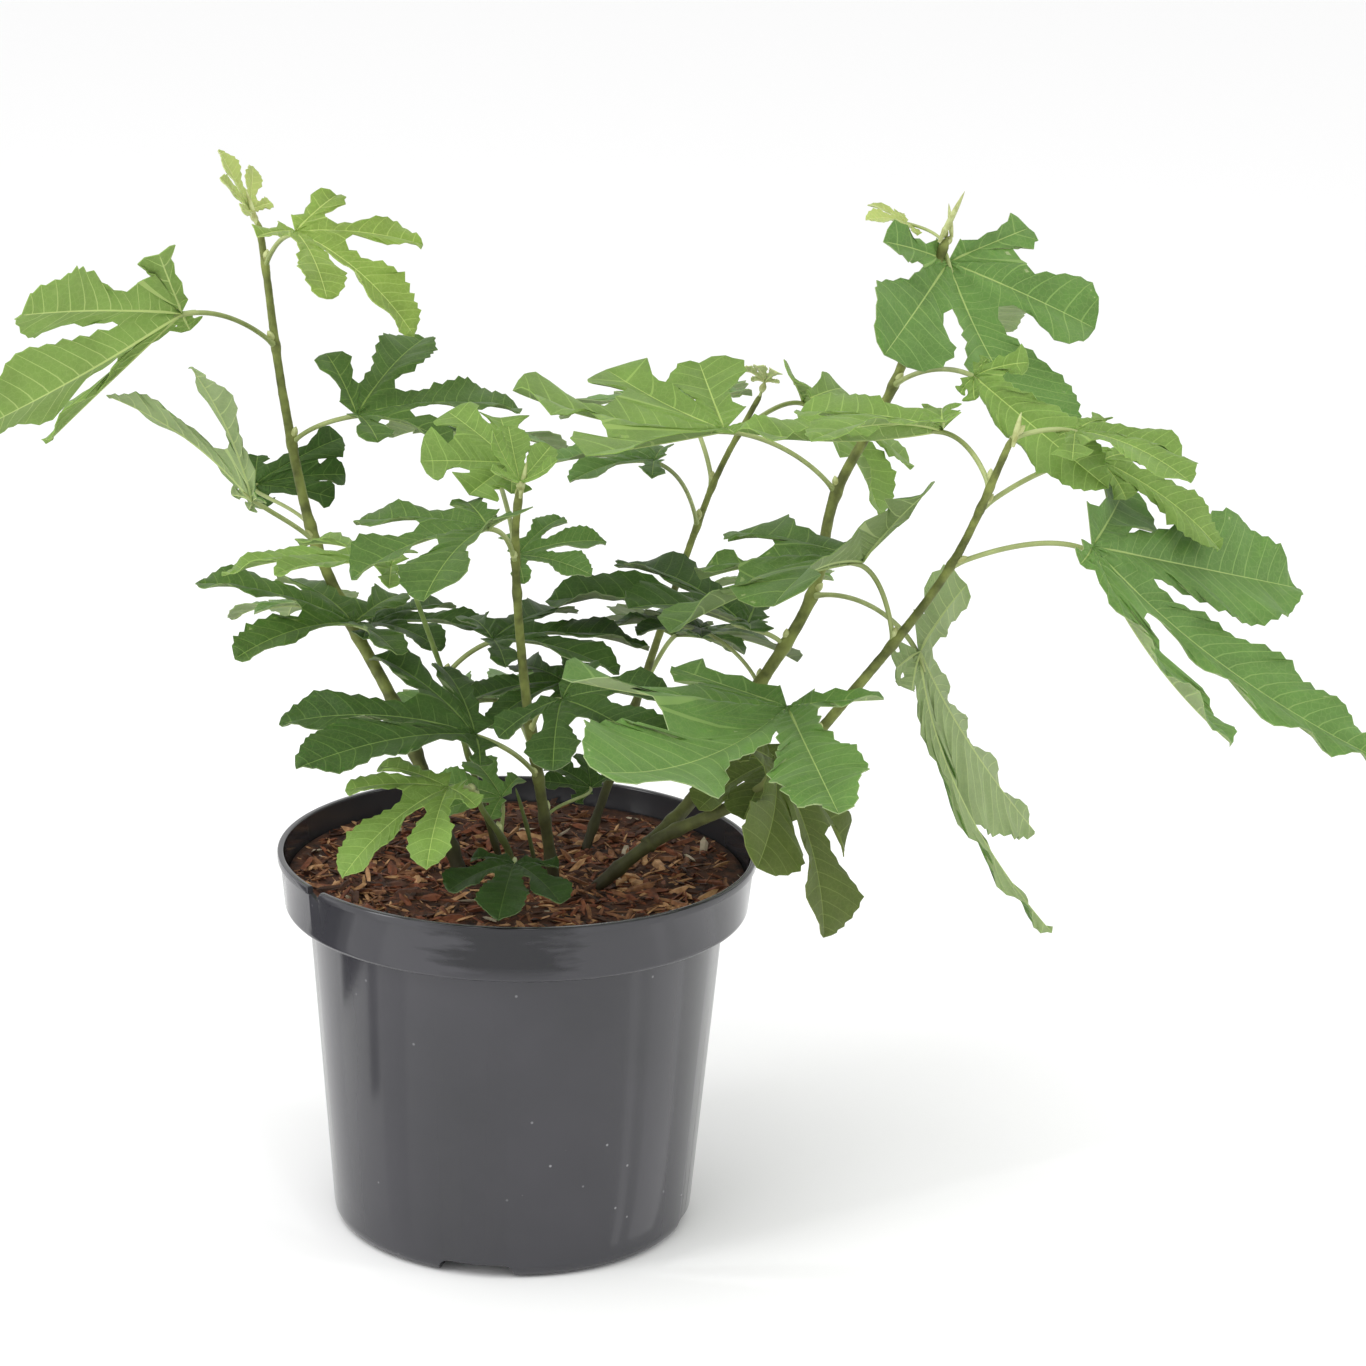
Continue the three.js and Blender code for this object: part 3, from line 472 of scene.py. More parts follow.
# Mulch: moist composted bark that fills the pot to a finger's width below its rim. Its top is uneven, and
# chips, slivers and fibres of bark lie on it as they fell.
SOIL_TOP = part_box("mulch")[1][2]
SOIL_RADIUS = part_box("mulch")[1][0]
CLEARANCE = 0.0003
SOIL_STEPS = 120
SOIL_RINGS = 44
SOIL_RELIEF = 0.003
SOIL_LUMP = 0.014
LUMP_SHARE = 0.7
CRUMB_FINENESS = 4
CRUMB_LAYER = 3
SOIL_EDGE = 8
CHIPS = 3400
CHIP_SEED = 5
CHIP_LENGTH = (0.003, 0.018)
SHORT_CHIPS = 2.2
CHIP_WIDTH = (0.08, 0.3)
CHIP_PITCH = 0.27
CHIP_ROLL = 1
CHIP_LIFT = 0.35
# A chip's uneven sections, as shares of its length from the middle, and what each varies by.
CHIP_SECTIONS = (-0.3, 0.05, 0.33)
SECTION_WIDTH = (0.75, 1.1)
SECTION_THICKNESS = (0.16, 0.34)
SECTION_SWAY = 0.2
CHIP_KINDS = [
    dict(name="dark bark", share=0.27, dark=(0.03, 0.011, 0.005, 1), light=(0.1, 0.034, 0.015, 1)),
    dict(name="red bark", share=0.31, dark=(0.11, 0.032, 0.013, 1), light=(0.26, 0.08, 0.032, 1)),
    dict(name="brown bark", share=0.21, dark=(0.15, 0.06, 0.026, 1), light=(0.33, 0.145, 0.06, 1)),
    dict(name="tan wood", share=0.2, dark=(0.35, 0.17, 0.07, 1), light=(0.62, 0.35, 0.17, 1)),
    dict(name="pale grit", share=0.01, dark=(0.4, 0.33, 0.24, 1), light=(0.6, 0.5, 0.38, 1)),
]


def soil_height(x, y):
    """How far the top of the mulch stands above or below its mean level."""
    lump = noise.noise((x / SOIL_LUMP, y / SOIL_LUMP, 0))
    crumb = noise.noise((x / SOIL_LUMP * CRUMB_FINENESS, y / SOIL_LUMP * CRUMB_FINENESS, CRUMB_LAYER))
    return SOIL_RELIEF * (LUMP_SHARE * lump + (1 - LUMP_SHARE) * crumb)


def soil_profile():
    floor = FLOOR_LIFT + FLOOR_THICKNESS + CLEARANCE
    ledge = COLLAR_FOOT + WALL + CLEARANCE
    inside = WALL + CLEARANCE
    edge = COLLAR_FOOT_RADIUS - inside
    top = [(edge * (1 - ring / SOIL_RINGS), SOIL_TOP) for ring in range(SOIL_RINGS + 1)]
    return [
        (0, floor),
        (wall_radius(floor) - inside, floor),
        (wall_radius(ledge) - inside, ledge),
        (edge, ledge + COLLAR_ROUND),
        *top,
    ]


def chip(length, width, dice):
    """One sliver of bark along X: three uneven four-cornered sections between two points."""
    corners = [(-length / 2, 0, 0)]
    for along in CHIP_SECTIONS:
        half = width / 2 * dice.uniform(*SECTION_WIDTH)
        thick = width * dice.uniform(*SECTION_THICKNESS)
        sway = width * dice.uniform(-SECTION_SWAY, SECTION_SWAY)
        x = along * length
        corners += [(x, sway - half, 0), (x, sway, thick), (x, sway + half, 0), (x, sway, -thick)]
    corners.append((length / 2, 0, 0))
    first, middle, last, end = 1, 5, 9, 13
    faces = []
    for side in range(4):
        beside = (side + 1) % 4
        faces.append((0, first + side, first + beside))
        faces.append((first + side, middle + side, middle + beside, first + beside))
        faces.append((middle + side, last + side, last + beside, middle + beside))
        faces.append((end, last + beside, last + side))
    return corners, faces


def joined(name, parts):
    """One mesh object from many small ones: each part is its corners, its faces and their slots."""
    corners, faces, slots = [], [], []
    for part_corners, part_faces, part_slots in parts:
        first = len(corners)
        corners.extend(map(tuple, part_corners))
        faces.extend(tuple(first + i for i in face) for face in part_faces)
        slots.extend(part_slots)
    mesh = bpy.data.meshes.new(name)
    mesh.from_pydata(corners, [], faces)
    mesh.polygons.foreach_set("material_index", slots)
    mesh.update()
    piece = bpy.data.objects.new(name, mesh)
    bpy.context.collection.objects.link(piece)
    select_only(piece)
    return piece


def scattered_chips():
    """Chips of every length and kind strewn evenly over the mulch, short ones more often than long."""
    dice = random.Random(CHIP_SEED)
    shortest, longest = CHIP_LENGTH
    kinds = range(len(CHIP_KINDS))
    shares = [kind["share"] for kind in CHIP_KINDS]
    parts = []
    for _ in range(CHIPS):
        length = shortest + (longest - shortest) * dice.random() ** SHORT_CHIPS
        width = length * dice.uniform(*CHIP_WIDTH)
        kind = dice.choices(kinds, shares)[0]
        radius = (SOIL_RADIUS - length / 2 - CLEARANCE) * math.sqrt(dice.random())
        x, y, _ = around(radius, dice.uniform(0, 2 * math.pi), 0)
        lie = Matrix.Rotation(dice.uniform(0, 2 * math.pi), 4, "Z")
        lie = lie @ Matrix.Rotation(dice.gauss(0, CHIP_PITCH), 4, "Y")
        lie = lie @ Matrix.Rotation(dice.uniform(-CHIP_ROLL, CHIP_ROLL), 4, "X")
        height = SOIL_TOP + soil_height(x, y) + width * dice.uniform(0, CHIP_LIFT)
        place = Matrix.Translation((x, y, height)) @ lie
        corners, faces = chip(length, width, dice)
        parts.append(([place @ Vector(corner) for corner in corners], faces, [kind] * len(faces)))
    return parts


soil = spun("mulch_bed", soil_profile(), SOIL_STEPS)
for corner in soil.data.vertices:
    x, y, z = corner.co
    if z > SOIL_TOP - CLEARANCE:
        edge = math.hypot(x, y) / SOIL_RADIUS
        corner.co.z += soil_height(x, y) * min(1, SOIL_EDGE * (1 - edge))
bpy.ops.object.shade_smooth()
compost = mottled(
    "moist compost",
    dark=(0.022, 0.008, 0.005, 1),
    light=(0.11, 0.038, 0.018, 1),
    patch=0.006,
    roughness=0.9,
    grain=0.0008,
    grain_size=0.002,
)
soil.data.materials.append(compost)
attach(soil, "root")
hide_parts("mulch")

chips = joined("bark_chips", scattered_chips())
for kind in CHIP_KINDS:
    bark = mottled(
        kind["name"],
        dark=kind["dark"],
        light=kind["light"],
        patch=0.004,
        roughness=0.75,
        grain=0.0003,
        grain_size=0.001,
    )
    chips.data.materials.append(bark)
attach(chips, "root")


# Stems: four olive-brown limbs from the foot and a fifth that forks from the right one, with slim green
# shoots between them. The bark is smooth and thin, ringed and a little swollen at each leaf's joint.
MM = 0.001
COURSE_STEPS = 60
BUD_LENGTH = 0.009
BUD_SHOULDER = 0.6
BUD_FULLNESS = 0.9
BUD_POINT = 1.6
LIMB_RING = 0.0016
LIMB_SIDES = 5
LEAST_RADIUS = 0.00001
JOINT_SWELL = 0.24
JOINT_REACH = 0.0032
BARK_RELIEF = 0.00035
BARK_LUMP = 0.0035
HALF_JOINT_GAP = 0.011
BARK_SHINE = 0.3
# How far up the bark turns darker towards the foot of the plant, and the colour it has at the foot.
LOW_DARKENING_REACH = 0.09
LOW_BARK_COLOUR = (0.035, 0.03, 0.014, 1)
# Each stem's bark, its width low down and at its tip and the points that its middle runs through, all in
# millimetres.
STEMS = [
    dict(name="stem_left", bark="brown", low=7.2, high=3.4, course=((-22, -5, 160), (-58, 15, 245),
         (-83, 30, 287), (-101, 40, 324), (-117, 55, 388), (-128, 70, 455), (-131, 72, 472))),
    dict(name="stem_middle", bark="brown", low=5.8, high=3.4, course=((20, -10, 160), (9, -20, 233),
         (4, -30, 270), (0, -40, 316), (-1, -50, 354), (1, -55, 376))),
    dict(name="stem_slim", bark="brown", low=4.8, high=2.8, course=((27, 30, 160), (56, 65, 246),
         (81, 95, 320), (92, 105, 348), (112, 115, 386))),
    dict(name="stem_right", bark="brown", low=6.8, high=3.2, course=((26, -17, 160), (65, -28, 199),
         (102, -36, 221), (120, -45, 237), (151, -60, 280), (195, -80, 350), (219, -92, 413))),
    dict(name="stem_tall", bark="brown", low=6.8, high=4, course=((62, -28, 197), (82, -10, 214),
         (111, 15, 261), (137, 30, 305), (147, 45, 351), (173, 55, 403), (196, 60, 475))),
    dict(name="sprout_front", bark="green", low=4, high=2.6, course=((6, -30, 160), (-3, -34, 195),
         (-15, -50, 221), (-19, -55, 235))),
    dict(name="sprout_small", bark="green", low=2.4, high=1.8, course=((14, -22, 160), (6, -28, 202),
         (0, -34, 226))),
    dict(name="stem_thin", bark="green", low=3.4, high=2.4, course=((-5, 14, 160), (-24, 10, 225),
         (-36, 0, 269), (-45, -10, 299), (-50, -12, 314))),
]
# The leaves of each stem in their order: how high the stalk starts, where the blade's foot is and how long
# the midrib is, in millimetres, how the blade is turned, as its heading, pitch and roll in degrees, and where
# it differs from the usual leaf below.
# The deep and shaded tones are painted shade: darker copies of the leaf colours for leaves that sit in shade.
LEAVES_BY_STEM = {
    "stem_left": [
        dict(at=468, foot=(-135, 75, 476), length=32, tone="tip", turn=(157, 50, 0),
             lobes=(0.5, 0.75, 1, 0.8, 0.45), droops=(0, 0, 0, 0, 0)),
        dict(at=450, foot=(-111, 50, 470), length=78, tone="young", turn=(335, -20, 8), width=0.9,
             lobes=(0.5, 0.8, 1, 0.8, 0.4), lifts=(20, 15, 5, 15, 20), droops=(20, 25, 40, 30, 20)),
        dict(at=413, foot=(-161, 20, 436), length=118, tone="bright", turn=(201, -25, 49), width=1.1,
             sinuses=(0.06, 0.3, 0.27, 0.31, 0.23, 0.13), widths=(0.1, 0.15, 0.19, 0.1, 0.14),
             headings=(88, 43, 1, -40, -95), lobes=(0.41, 0.83, 0.92, 0.88, 0.12), lifts=(5, 2, -8, 8, 10),
             droops=(6, 11, -9, 2, 35), twists=(0, 0, 0, -38, 0)),
        dict(at=368, foot=(-81, 40, 385), length=82, tone="deep", turn=(26, 0, 8),
             lobes=(0.5, 0.9, 1.05, 0.6, 0.45), lifts=(40, 30, 12, 12, 15), droops=(25, 30, 30, 40, 30)),
        dict(at=322, foot=(-128, 20, 347), length=90, tone="middle", turn=(172, 38, 38), width=0.65,
             lobes=(0.12, 0.9, 0.95, 0.15, 0.12), lifts=(10, 20, 12, 10, 10), droops=(35, 22, 33, 35, 35)),
        dict(at=330, foot=(-135, 90, 338), length=46, tone="dark", turn=(10, 10, 50), width=1.35,
             sinuses=(0.22, 0.5, 0.82, 0.8, 0.5, 0.22), widths=(0.14, 0.12, 0.11, 0.12, 0.14),
             headings=(75, 22, 0, -20, -75), lobes=(0.35, 1.12, 1, 0.87, 0.3)),
        dict(at=286, foot=(-79, 2, 293), length=88, tone="deep", turn=(179, 14, -4), width=0.88,
             headings=(118, 44, 0, -50, -110), lobes=(0.6, 0.78, 0.88, 0.7, 0.55),
             lifts=(19, 7, 14, 12, 17), droops=(20, 40, 30, 35, 25)),
        dict(at=280, foot=(-73, 36, 284), length=62, tone="dark", turn=(358, 5, 3),
             lobes=(0.35, 0.8, 1.02, 0.8, 0.35)),
        dict(at=296, foot=(-112, 92, 277), length=56, tone="middle", turn=(105, -12, -6)),
    ],
    "stem_thin": [
        dict(at=312, foot=(-59, -30, 330), length=77, tone="bright", turn=(178, 5, 0), width=0.75,
             lobes=(0.35, 0.85, 1.04, 0.85, 0.45), lifts=(10, 15, 8, 11, 13), droops=(35, 28, 37, 34, 31)),
        dict(at=268, foot=(-13, -5, 289), length=79, tone="dark", turn=(18, 2, 4), width=0.9),
    ],
    "stem_middle": [
        dict(at=372, foot=(1, -58, 378), length=34, tone="bright", turn=(108, 21, 8), width=1.3,
             lobes=(0.5, 0.78, 0.97, 0.83, 0.6), lifts=(16, 27, 14, 13, 30),
             droops=(-10, -25, -5, -5, -30)),
        dict(at=366, foot=(-4, -30, 380), length=50, tone="bright", turn=(193, 7, -30), width=1.9,
             sinuses=(0.3, 0.5, 0.66, 0.66, 0.5, 0.3), headings=(83, 48, 3, -46, -87),
             lobes=(0.45, 0.66, 0.85, 0.81, 0.69), lifts=(9, 7, 1, 8, 3), droops=(9, 12, 8, 11, 17)),
        dict(at=338, foot=(-12, -80, 362), length=76, tone="deep", turn=(205, -9, 2), width=1.2,
             sinuses=(0.17, 0.3, 0.4, 0.4, 0.3, 0.17), lobes=(0.44, 0.92, 0.9, 0.84, 0.4),
             lifts=(26, 8, 11, 16, 20), droops=(12, 36, 36, 25, 20)),
        dict(at=322, foot=(-1, -20, 334), length=44, tone="middle", turn=(10, 16, 20),
             lobes=(0.45, 0.8, 0.97, 0.9, 0.5)),
        dict(at=255, foot=(21, 0, 268), length=54, tone="dark", turn=(172, -9, -14),
             lobes=(0.45, 0.85, 1.05, 0.74, 0.45)),
        dict(at=250, foot=(22, -70, 280), length=62, tone="dark", turn=(318, -5, 20), width=1.2,
             sinuses=(0.16, 0.28, 0.37, 0.37, 0.28, 0.16), headings=(108, 44, 0, -52, -99),
             lobes=(0.5, 0.8, 1.05, 0.8, 0.6)),
        dict(at=226, foot=(-18, -60, 259), length=104, tone="dark", turn=(194, 16, -19), width=0.78,
             headings=(95, 32, 0, -49, -80), lobes=(0.2, 1, 0.88, 0.66, 0.56), lifts=(10, 13, 8, 14, 11),
             droops=(35, 30, 40, 33, 30)),
        dict(at=236, foot=(-13, 55, 242), length=84, tone="middle", turn=(125, -8, -5)),
        dict(at=205, foot=(34, 15, 211), length=28, tone="dark", turn=(146, 22, -21), width=1.3,
             sinuses=(0.2, 0.35, 0.46, 0.46, 0.35, 0.2), droops=(35, 10, 40, 35, 35)),
        dict(at=345, foot=(-24, 70, 369), length=74, tone="middle", turn=(95, -10, 5)),
    ],
    "stem_slim": [
        dict(at=383, foot=(113, 112, 392), length=17, tone="tip", turn=(250, 45, 0)),
        dict(at=366, foot=(133, 135, 377), length=78, tone="bright", turn=(325, -31, -18), width=1.2,
             lobes=(0.53, 0.88, 0.94, 0.87, 0.44), lifts=(23, 15, 6, 15, 26), droops=(17, 27, 41, 29, 13)),
        dict(at=322, foot=(60, 60, 362), length=58, tone="middle", turn=(174, 3, -4)),
        dict(at=340, foot=(72, 150, 372), length=84, tone="middle", turn=(110, -8, -4)),
        dict(at=238, foot=(72, 110, 262), length=88, tone="dark", turn=(70, -10, 6)),
    ],
    "stem_tall": [
        dict(at=471, foot=(177, 80, 477), length=24, tone="tip", turn=(217, 16, -24)),
        dict(at=468, foot=(197, 66, 461), length=107, tone="middle", turn=(303, -54, -13), width=1.15,
             sinuses=(0.13, 0.42, 0.31, 0.31, 0.26, 0.13), widths=(0.1, 0.22, 0.21, 0.2, 0.11),
             headings=(105, 47, -5, -54, -97), lobes=(0.52, 0.72, 1.14, 0.82, 0.46),
             lifts=(19, 27, 4, 5, 16), droops=(13, 9, -23, 5, 17)),
        dict(at=403, foot=(207, -10, 422), length=86, tone="bright", turn=(296, -10, 54), width=0.85,
             headings=(95, 42, -2, -42, -95), lobes=(0.12, 0.35, 1.18, 0.15, 0.12),
             lifts=(16, 12, 10, 12, 16), droops=(35, 35, 50, 35, 35)),
        dict(at=352, foot=(93, 25, 386), length=110, tone="bright", turn=(188, -10, -2), width=1.25,
             sinuses=(0.16, 0.28, 0.6, 0.72, 0.24, 0.16), widths=(0.12, 0.13, 0.175, 0.165, 0.17),
             headings=(99, 40, 2, -51, -89), lobes=(0.15, 0.85, 0.94, 0.7, 0.55), lifts=(18, 9, 9, 11, 17),
             droops=(21, -2, -25, -14, -2)),
        dict(at=305, foot=(185, -40, 299), length=156, tone="middle", turn=(210, -109, 67),
             sinuses=(0.13, 0.13, 0.2, 0.24, 0.14, 0.13), widths=(0.14, 0.14, 0.055, 0.12, 0.16),
             headings=(95, 42, -6, -28, -96), lobes=(0.12, 0.12, 1.08, 1.08, 0.35),
             lifts=(5, 5, 16, 16, 13), droops=(10, 10, 46, 16, 13), twists=(0, 0, -42, -25, 0)),
        dict(at=282, foot=(106, 15, 293), length=103, tone="dark", turn=(176, 10, -9),
             lobes=(0.3, 0.75, 0.95, 0.87, 0.45), lifts=(40, 32, 12, 12, 14)),
        dict(at=264, foot=(84, 38, 285), length=46, tone="dark", turn=(177, 8, 6)),
        dict(at=430, foot=(219, 112, 435), length=70, tone="middle", turn=(78, -16, 4)),
        dict(at=318, foot=(126, 105, 291), length=56, tone="middle", turn=(105, -8, -4)),
    ],
    "stem_right": [
        dict(at=411, foot=(248, -75, 412), length=62, tone="bright", turn=(305, -9, 11), width=1.15,
             headings=(95, 37, 12, -42, -95), lobes=(0.3, 0.8, 1.06, 0.4, 0.15), lifts=(16, 8, 13, 12, 16)),
        dict(at=388, foot=(190, -60, 408), length=101, tone="bright", turn=(181, -14, -6), width=0.95,
             headings=(95, 38, 1, -39, -95), lobes=(0.2, 0.78, 0.92, 0.79, 0.3), lifts=(45, 33, 1, 13, 16),
             droops=(35, 31, -24, 19, 35)),
        dict(at=378, foot=(262, -50, 393), length=74, tone="bright", turn=(6, -22, 34), width=1.2,
             widths=(0.14, 0.14, 0.12, 0.14, 0.14), headings=(95, 44, -10, -44, -95),
             lobes=(0.12, 0.3, 0.96, 0.3, 0.15)),
        dict(at=350, foot=(257, -85, 362), length=158, tone="middle", turn=(6, -49, 27), width=0.75,
             sinuses=(0.13, 0.16, 0.22, 0.25, 0.2, 0.13), widths=(0.26, 0.24, 0.17, 0.13, 0.14),
             headings=(85, 39, 1, -50, -95), lobes=(0.37, 0.82, 1.07, 0.79, 0.1), lifts=(8, 12, 2, 6, 10),
             droops=(13, 0, -26, -24, 35), twists=(0, 0, 0, -12, 0)),
        dict(at=310, foot=(156, -70, 349), length=116, tone="deep", turn=(212, -8, 20), width=1.15,
             sinuses=(0.2, 0.4, 0.72, 0.6, 0.4, 0.2), headings=(96, 32, -5, -46, -79),
             lobes=(0.52, 0.8, 0.87, 0.67, 0.73), lifts=(27, 12, 7, 20, 24), droops=(11, 32, 22, 24, 12)),
        dict(at=262, foot=(124, -90, 285), length=126, tone="middle", turn=(241, -11, 13), width=1.15,
             sinuses=(0.12, 0.2, 0.25, 0.64, 0.35, 0.12), widths=(0.08, 0.12, 0.2, 0.14, 0.1),
             headings=(93, 38, 1, -42, -93), lobes=(0.39, 1.02, 1.25, 0.85, 0.48), lifts=(5, -3, 1, 23, 21),
             droops=(9, 0, -27, -9, 1), twists=(0, 0, -30, 0, 0)),
        dict(at=236, foot=(123, -13, 236), length=52, tone="olive", turn=(216, -11, -5), width=1.35,
             sinuses=(0.22, 0.39, 0.53, 0.53, 0.39, 0.22), headings=(95, 33, 0, -43, -87),
             lobes=(0.45, 0.98, 0.95, 0.75, 0.55)),
        dict(at=240, foot=(119, -56, 249), length=86, tone="olive", turn=(302, -41, -29), width=1.25,
             sinuses=(0.2, 0.35, 0.46, 0.46, 0.35, 0.2), headings=(84, 46, 0, -37, -95),
             lobes=(0.5, 0.66, 1.04, 0.9, 0.4)),
    ],
    "sprout_front": [
        dict(at=229, foot=(-29, -75, 238), length=66, tone="bright", turn=(223, -12, -6), width=0.85,
             sinuses=(0.15, 0.25, 0.33, 0.33, 0.25, 0.15), headings=(82, 39, 0, -43, -80),
             lobes=(0.37, 0.88, 1.04, 0.72, 0.64), lifts=(16, 9, 5, 16, 12), droops=(28, 36, 42, 29, 28)),
        dict(at=202, foot=(-7, -25, 218), length=40, tone="middle", turn=(162, 10, -20), width=1.2),
        dict(at=184, foot=(2, -80, 204), length=46, tone="shaded", turn=(264, -6, -3), width=1.3,
             sinuses=(0.17, 0.3, 0.4, 0.4, 0.3, 0.17)),
    ],
}
# A leaf is named after its stem: the first one of stem_left is leaf_left_1.
LEAVES = []
for stem, leaves in LEAVES_BY_STEM.items():
    for number, leaf in enumerate(leaves, 1):
        LEAVES.append({"name": f"leaf_{stem.split('_')[1]}_{number}", "stem": stem, **leaf})


def limb_middle(course):
    """Points along the smooth curve through a limb's course, close together, and how far along each is."""
    course = [MM * np.array(point, float) for point in course]
    ends = [2 * course[0] - course[1], *course, 2 * course[-1] - course[-2]]
    points = []
    for before, here, there, after in zip(ends, ends[1:], ends[2:], ends[3:]):
        gap = np.linalg.norm(there - here) ** 0.5
        gap_before = np.linalg.norm(here - before) ** 0.5
        gap_after = np.linalg.norm(after - there) ** 0.5
        leave = (here - before) / gap_before - (there - before) / (gap_before + gap) + (there - here) / gap
        enter = (there - here) / gap - (after - here) / (gap + gap_after) + (after - there) / gap_after
        share = np.linspace(0, 1, COURSE_STEPS, endpoint=False)[:, None]
        points.append(
            (2 * share**3 - 3 * share**2 + 1) * here
            + (share**3 - 2 * share**2 + share) * leave * gap
            + (3 * share**2 - 2 * share**3) * there
            + (share**3 - share**2) * enter * gap
        )
    points = np.vstack([*points, course[-1]])
    along = np.concatenate([[0], np.cumsum(np.linalg.norm(np.diff(points, axis=0), axis=1))])
    return points, along


def limb_radius(stem, along, length, joints):
    """The limb's radius so far along it: an even taper, swollen at its joints, and closed by its end bud."""
    bud_start = length - BUD_LENGTH
    share = along / bud_start
    radius = MM * (stem["low"] + share * (stem["high"] - stem["low"])) / 2
    for joint in joints:
        radius *= 1 + JOINT_SWELL * math.exp(-(((along - joint) / JOINT_REACH) ** 2))
    past = (along - bud_start) / BUD_LENGTH
    shoulder = 1 - BUD_SHOULDER
    if past <= 0:
        return radius
    if past < shoulder:
        return radius * (1 - (1 - BUD_FULLNESS) * past / shoulder)
    return radius * BUD_FULLNESS * (1 - ((past - shoulder) / BUD_SHOULDER) ** BUD_POINT)


def limb_joints(stem, points, along):
    """How far along the limb its leaves stand, and bare ring scars on the stretch below the lowest."""
    heights = sorted({MM * leaf["at"] for leaf in LEAVES if leaf["stem"] == stem["name"]})
    height = SOIL_TOP + HALF_JOINT_GAP
    highest_scar = (heights[0] if heights else points[-1, 2]) - HALF_JOINT_GAP
    while height < highest_scar:
        heights.append(height)
        height += 2 * HALF_JOINT_GAP
    return [float(np.interp(height, points[:, 2], along)) for height in heights]


def bark_limb(stem):
    """One limb: a round curve with a radius at every point, made a mesh, its bark raised by two reliefs."""
    points, along = limb_middle(stem["course"])
    joints = limb_joints(stem, points, along)
    length = along[-1]
    spots = np.append(np.arange(0, length, LIMB_RING), length)
    bpy.ops.object.select_all(action="DESELECT")
    bpy.ops.curve.primitive_nurbs_path_add()
    limb = bpy.context.object
    limb.name = "bark_" + stem["name"]
    curve = limb.data
    curve.splines.clear()
    run = curve.splines.new("POLY")
    run.points.add(len(spots) - 1)
    for point, spot in zip(run.points, spots):
        place = [float(np.interp(spot, along, points[:, axis])) for axis in range(3)]
        point.co = (*place, 1)
        point.radius = max(limb_radius(stem, spot, length, joints), LEAST_RADIUS)
    curve.bevel_depth = 1
    curve.bevel_resolution = LIMB_SIDES
    curve.use_fill_caps = True
    bpy.ops.object.convert(target="MESH")
    limb = bpy.context.object
    bpy.ops.object.mode_set(mode="EDIT")
    close_up()
    for relief, lump in ((BARK_RELIEF, BARK_LUMP), (BARK_RELIEF / 2, BARK_LUMP / 3)):
        pattern = bpy.data.textures.new("bark", "CLOUDS")
        pattern.noise_scale = lump
        reshape(limb, "DISPLACE", texture=pattern, texture_coords="LOCAL", strength=relief, mid_level=0.5)
    bpy.ops.object.shade_smooth()
    return limb


def darken_low(finish):
    """Turn a finish darker towards the foot of the plant."""
    split = add_node(finish, "SeparateXYZ", {"Vector": place_in(finish)})
    height = {"From Min": SOIL_TOP, "From Max": SOIL_TOP + LOW_DARKENING_REACH}
    climb = add_node(finish, "MapRange", {"Value": split.outputs["Z"], **height})
    feed_shader(finish, {"Base Color": mixed(finish, climb.outputs["Result"], LOW_BARK_COLOUR, colour_in(finish))})


bark_finishes = {
    "brown": mottled(
        "olive bark",
        dark=(0.08, 0.094, 0.02, 1),
        light=(0.2, 0.235, 0.056, 1),
        patch=0.008,
        roughness=0.6,
        grain=0.0002,
        grain_size=0.0012,
    ),
    "green": mottled(
        "green shoot",
        dark=(0.12, 0.19, 0.04, 1),
        light=(0.24, 0.32, 0.09, 1),
        patch=0.012,
        roughness=0.45,
        grain=0.0001,
        grain_size=0.001,
    ),
}
for finish in bark_finishes.values():
    feed_shader(finish, {"Specular IOR Level": BARK_SHINE})
    darken_low(finish)
for stem in STEMS:
    limb = bark_limb(stem)
    limb.data.materials.append(bark_finishes[stem["bark"]])
    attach(limb, "root")
    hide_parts(stem["name"])


# Leaf blades: thin palmate blades with five blunt lobes, rough and matt above and paler below. The main
# veins stand out under the blade and lie in a groove above it; side veins run out to the teeth.
# The usual leaf, from its left rear to its right rear: how far out the sinuses lie and how wide and long
# the lobes are, as shares of the midrib's length, and the lobes' headings, lifts, droops and twists in
# degrees. The single width widens or narrows all five lobes.
USUAL_LEAF = dict(
    width=1,
    sinuses=(0.13, 0.23, 0.31, 0.31, 0.23, 0.13),
    widths=(0.14, 0.165, 0.175, 0.165, 0.14),
    headings=(95, 42, 0, -42, -95),
    lobes=(0.45, 0.85, 1, 0.85, 0.45),
    lifts=(16, 12, 8, 12, 16),
    droops=(35, 35, 35, 35, 35),
    twists=(0, 0, 0, 0, 0),
)
LOBES = len(USUAL_LEAF["lobes"])
# How the blade lies: each spot belongs to the nearest veins, and a lobe folds up along its own.
REAR_HEADING = 140
BLEND_START = 0.25
BLEND_END = 0.75
LOBE_FOLD = math.radians(16)
TWIST_START = 0.2
TWIST_END = 0.6
BLADE_THICKNESS = 0.0005
NORMAL_STEP = 0.0005
# The outline: rounded sinuses, lobes that widen from a waist and end bluntly, and teeth on all but stubs.
DEEPEST_SINUS = 0.72
SINUS_ROUND = 0.16
SHORT_LOBE_FULLNESS = 0.4
LONG_LOBE_FULLNESS = 1.1
WAIST = 0.48
WIDEST = 0.58
BLUNTNESS = 2.1
TIP_FULLNESS = 0.75
STUB_LOBE = 0.2
TOOTH = 0.15
TOOTH_SIZES = (0.45, 1.5)
EDGE_DRIFT = 0.07
EDGE_DRIFT_PACE = 7
ANY_PHASE = (0, 6.28)
# The relief: the blade arches between its side veins and waves at its margin, and ribs stand out below.
FULL_LEAF = 0.1
ARCH_RISE = 0.0009
MARGIN_WAVE = 0.002
WAVE_PERIODS = 2.6
WAVE_ONSET = 4
RIB_HEIGHT = 0.0009
TIP_RIB = 0.15
RIB_FLANK = 1 / 3
GROOVE = 1 / 6
SIDE_RIB = 0.0002
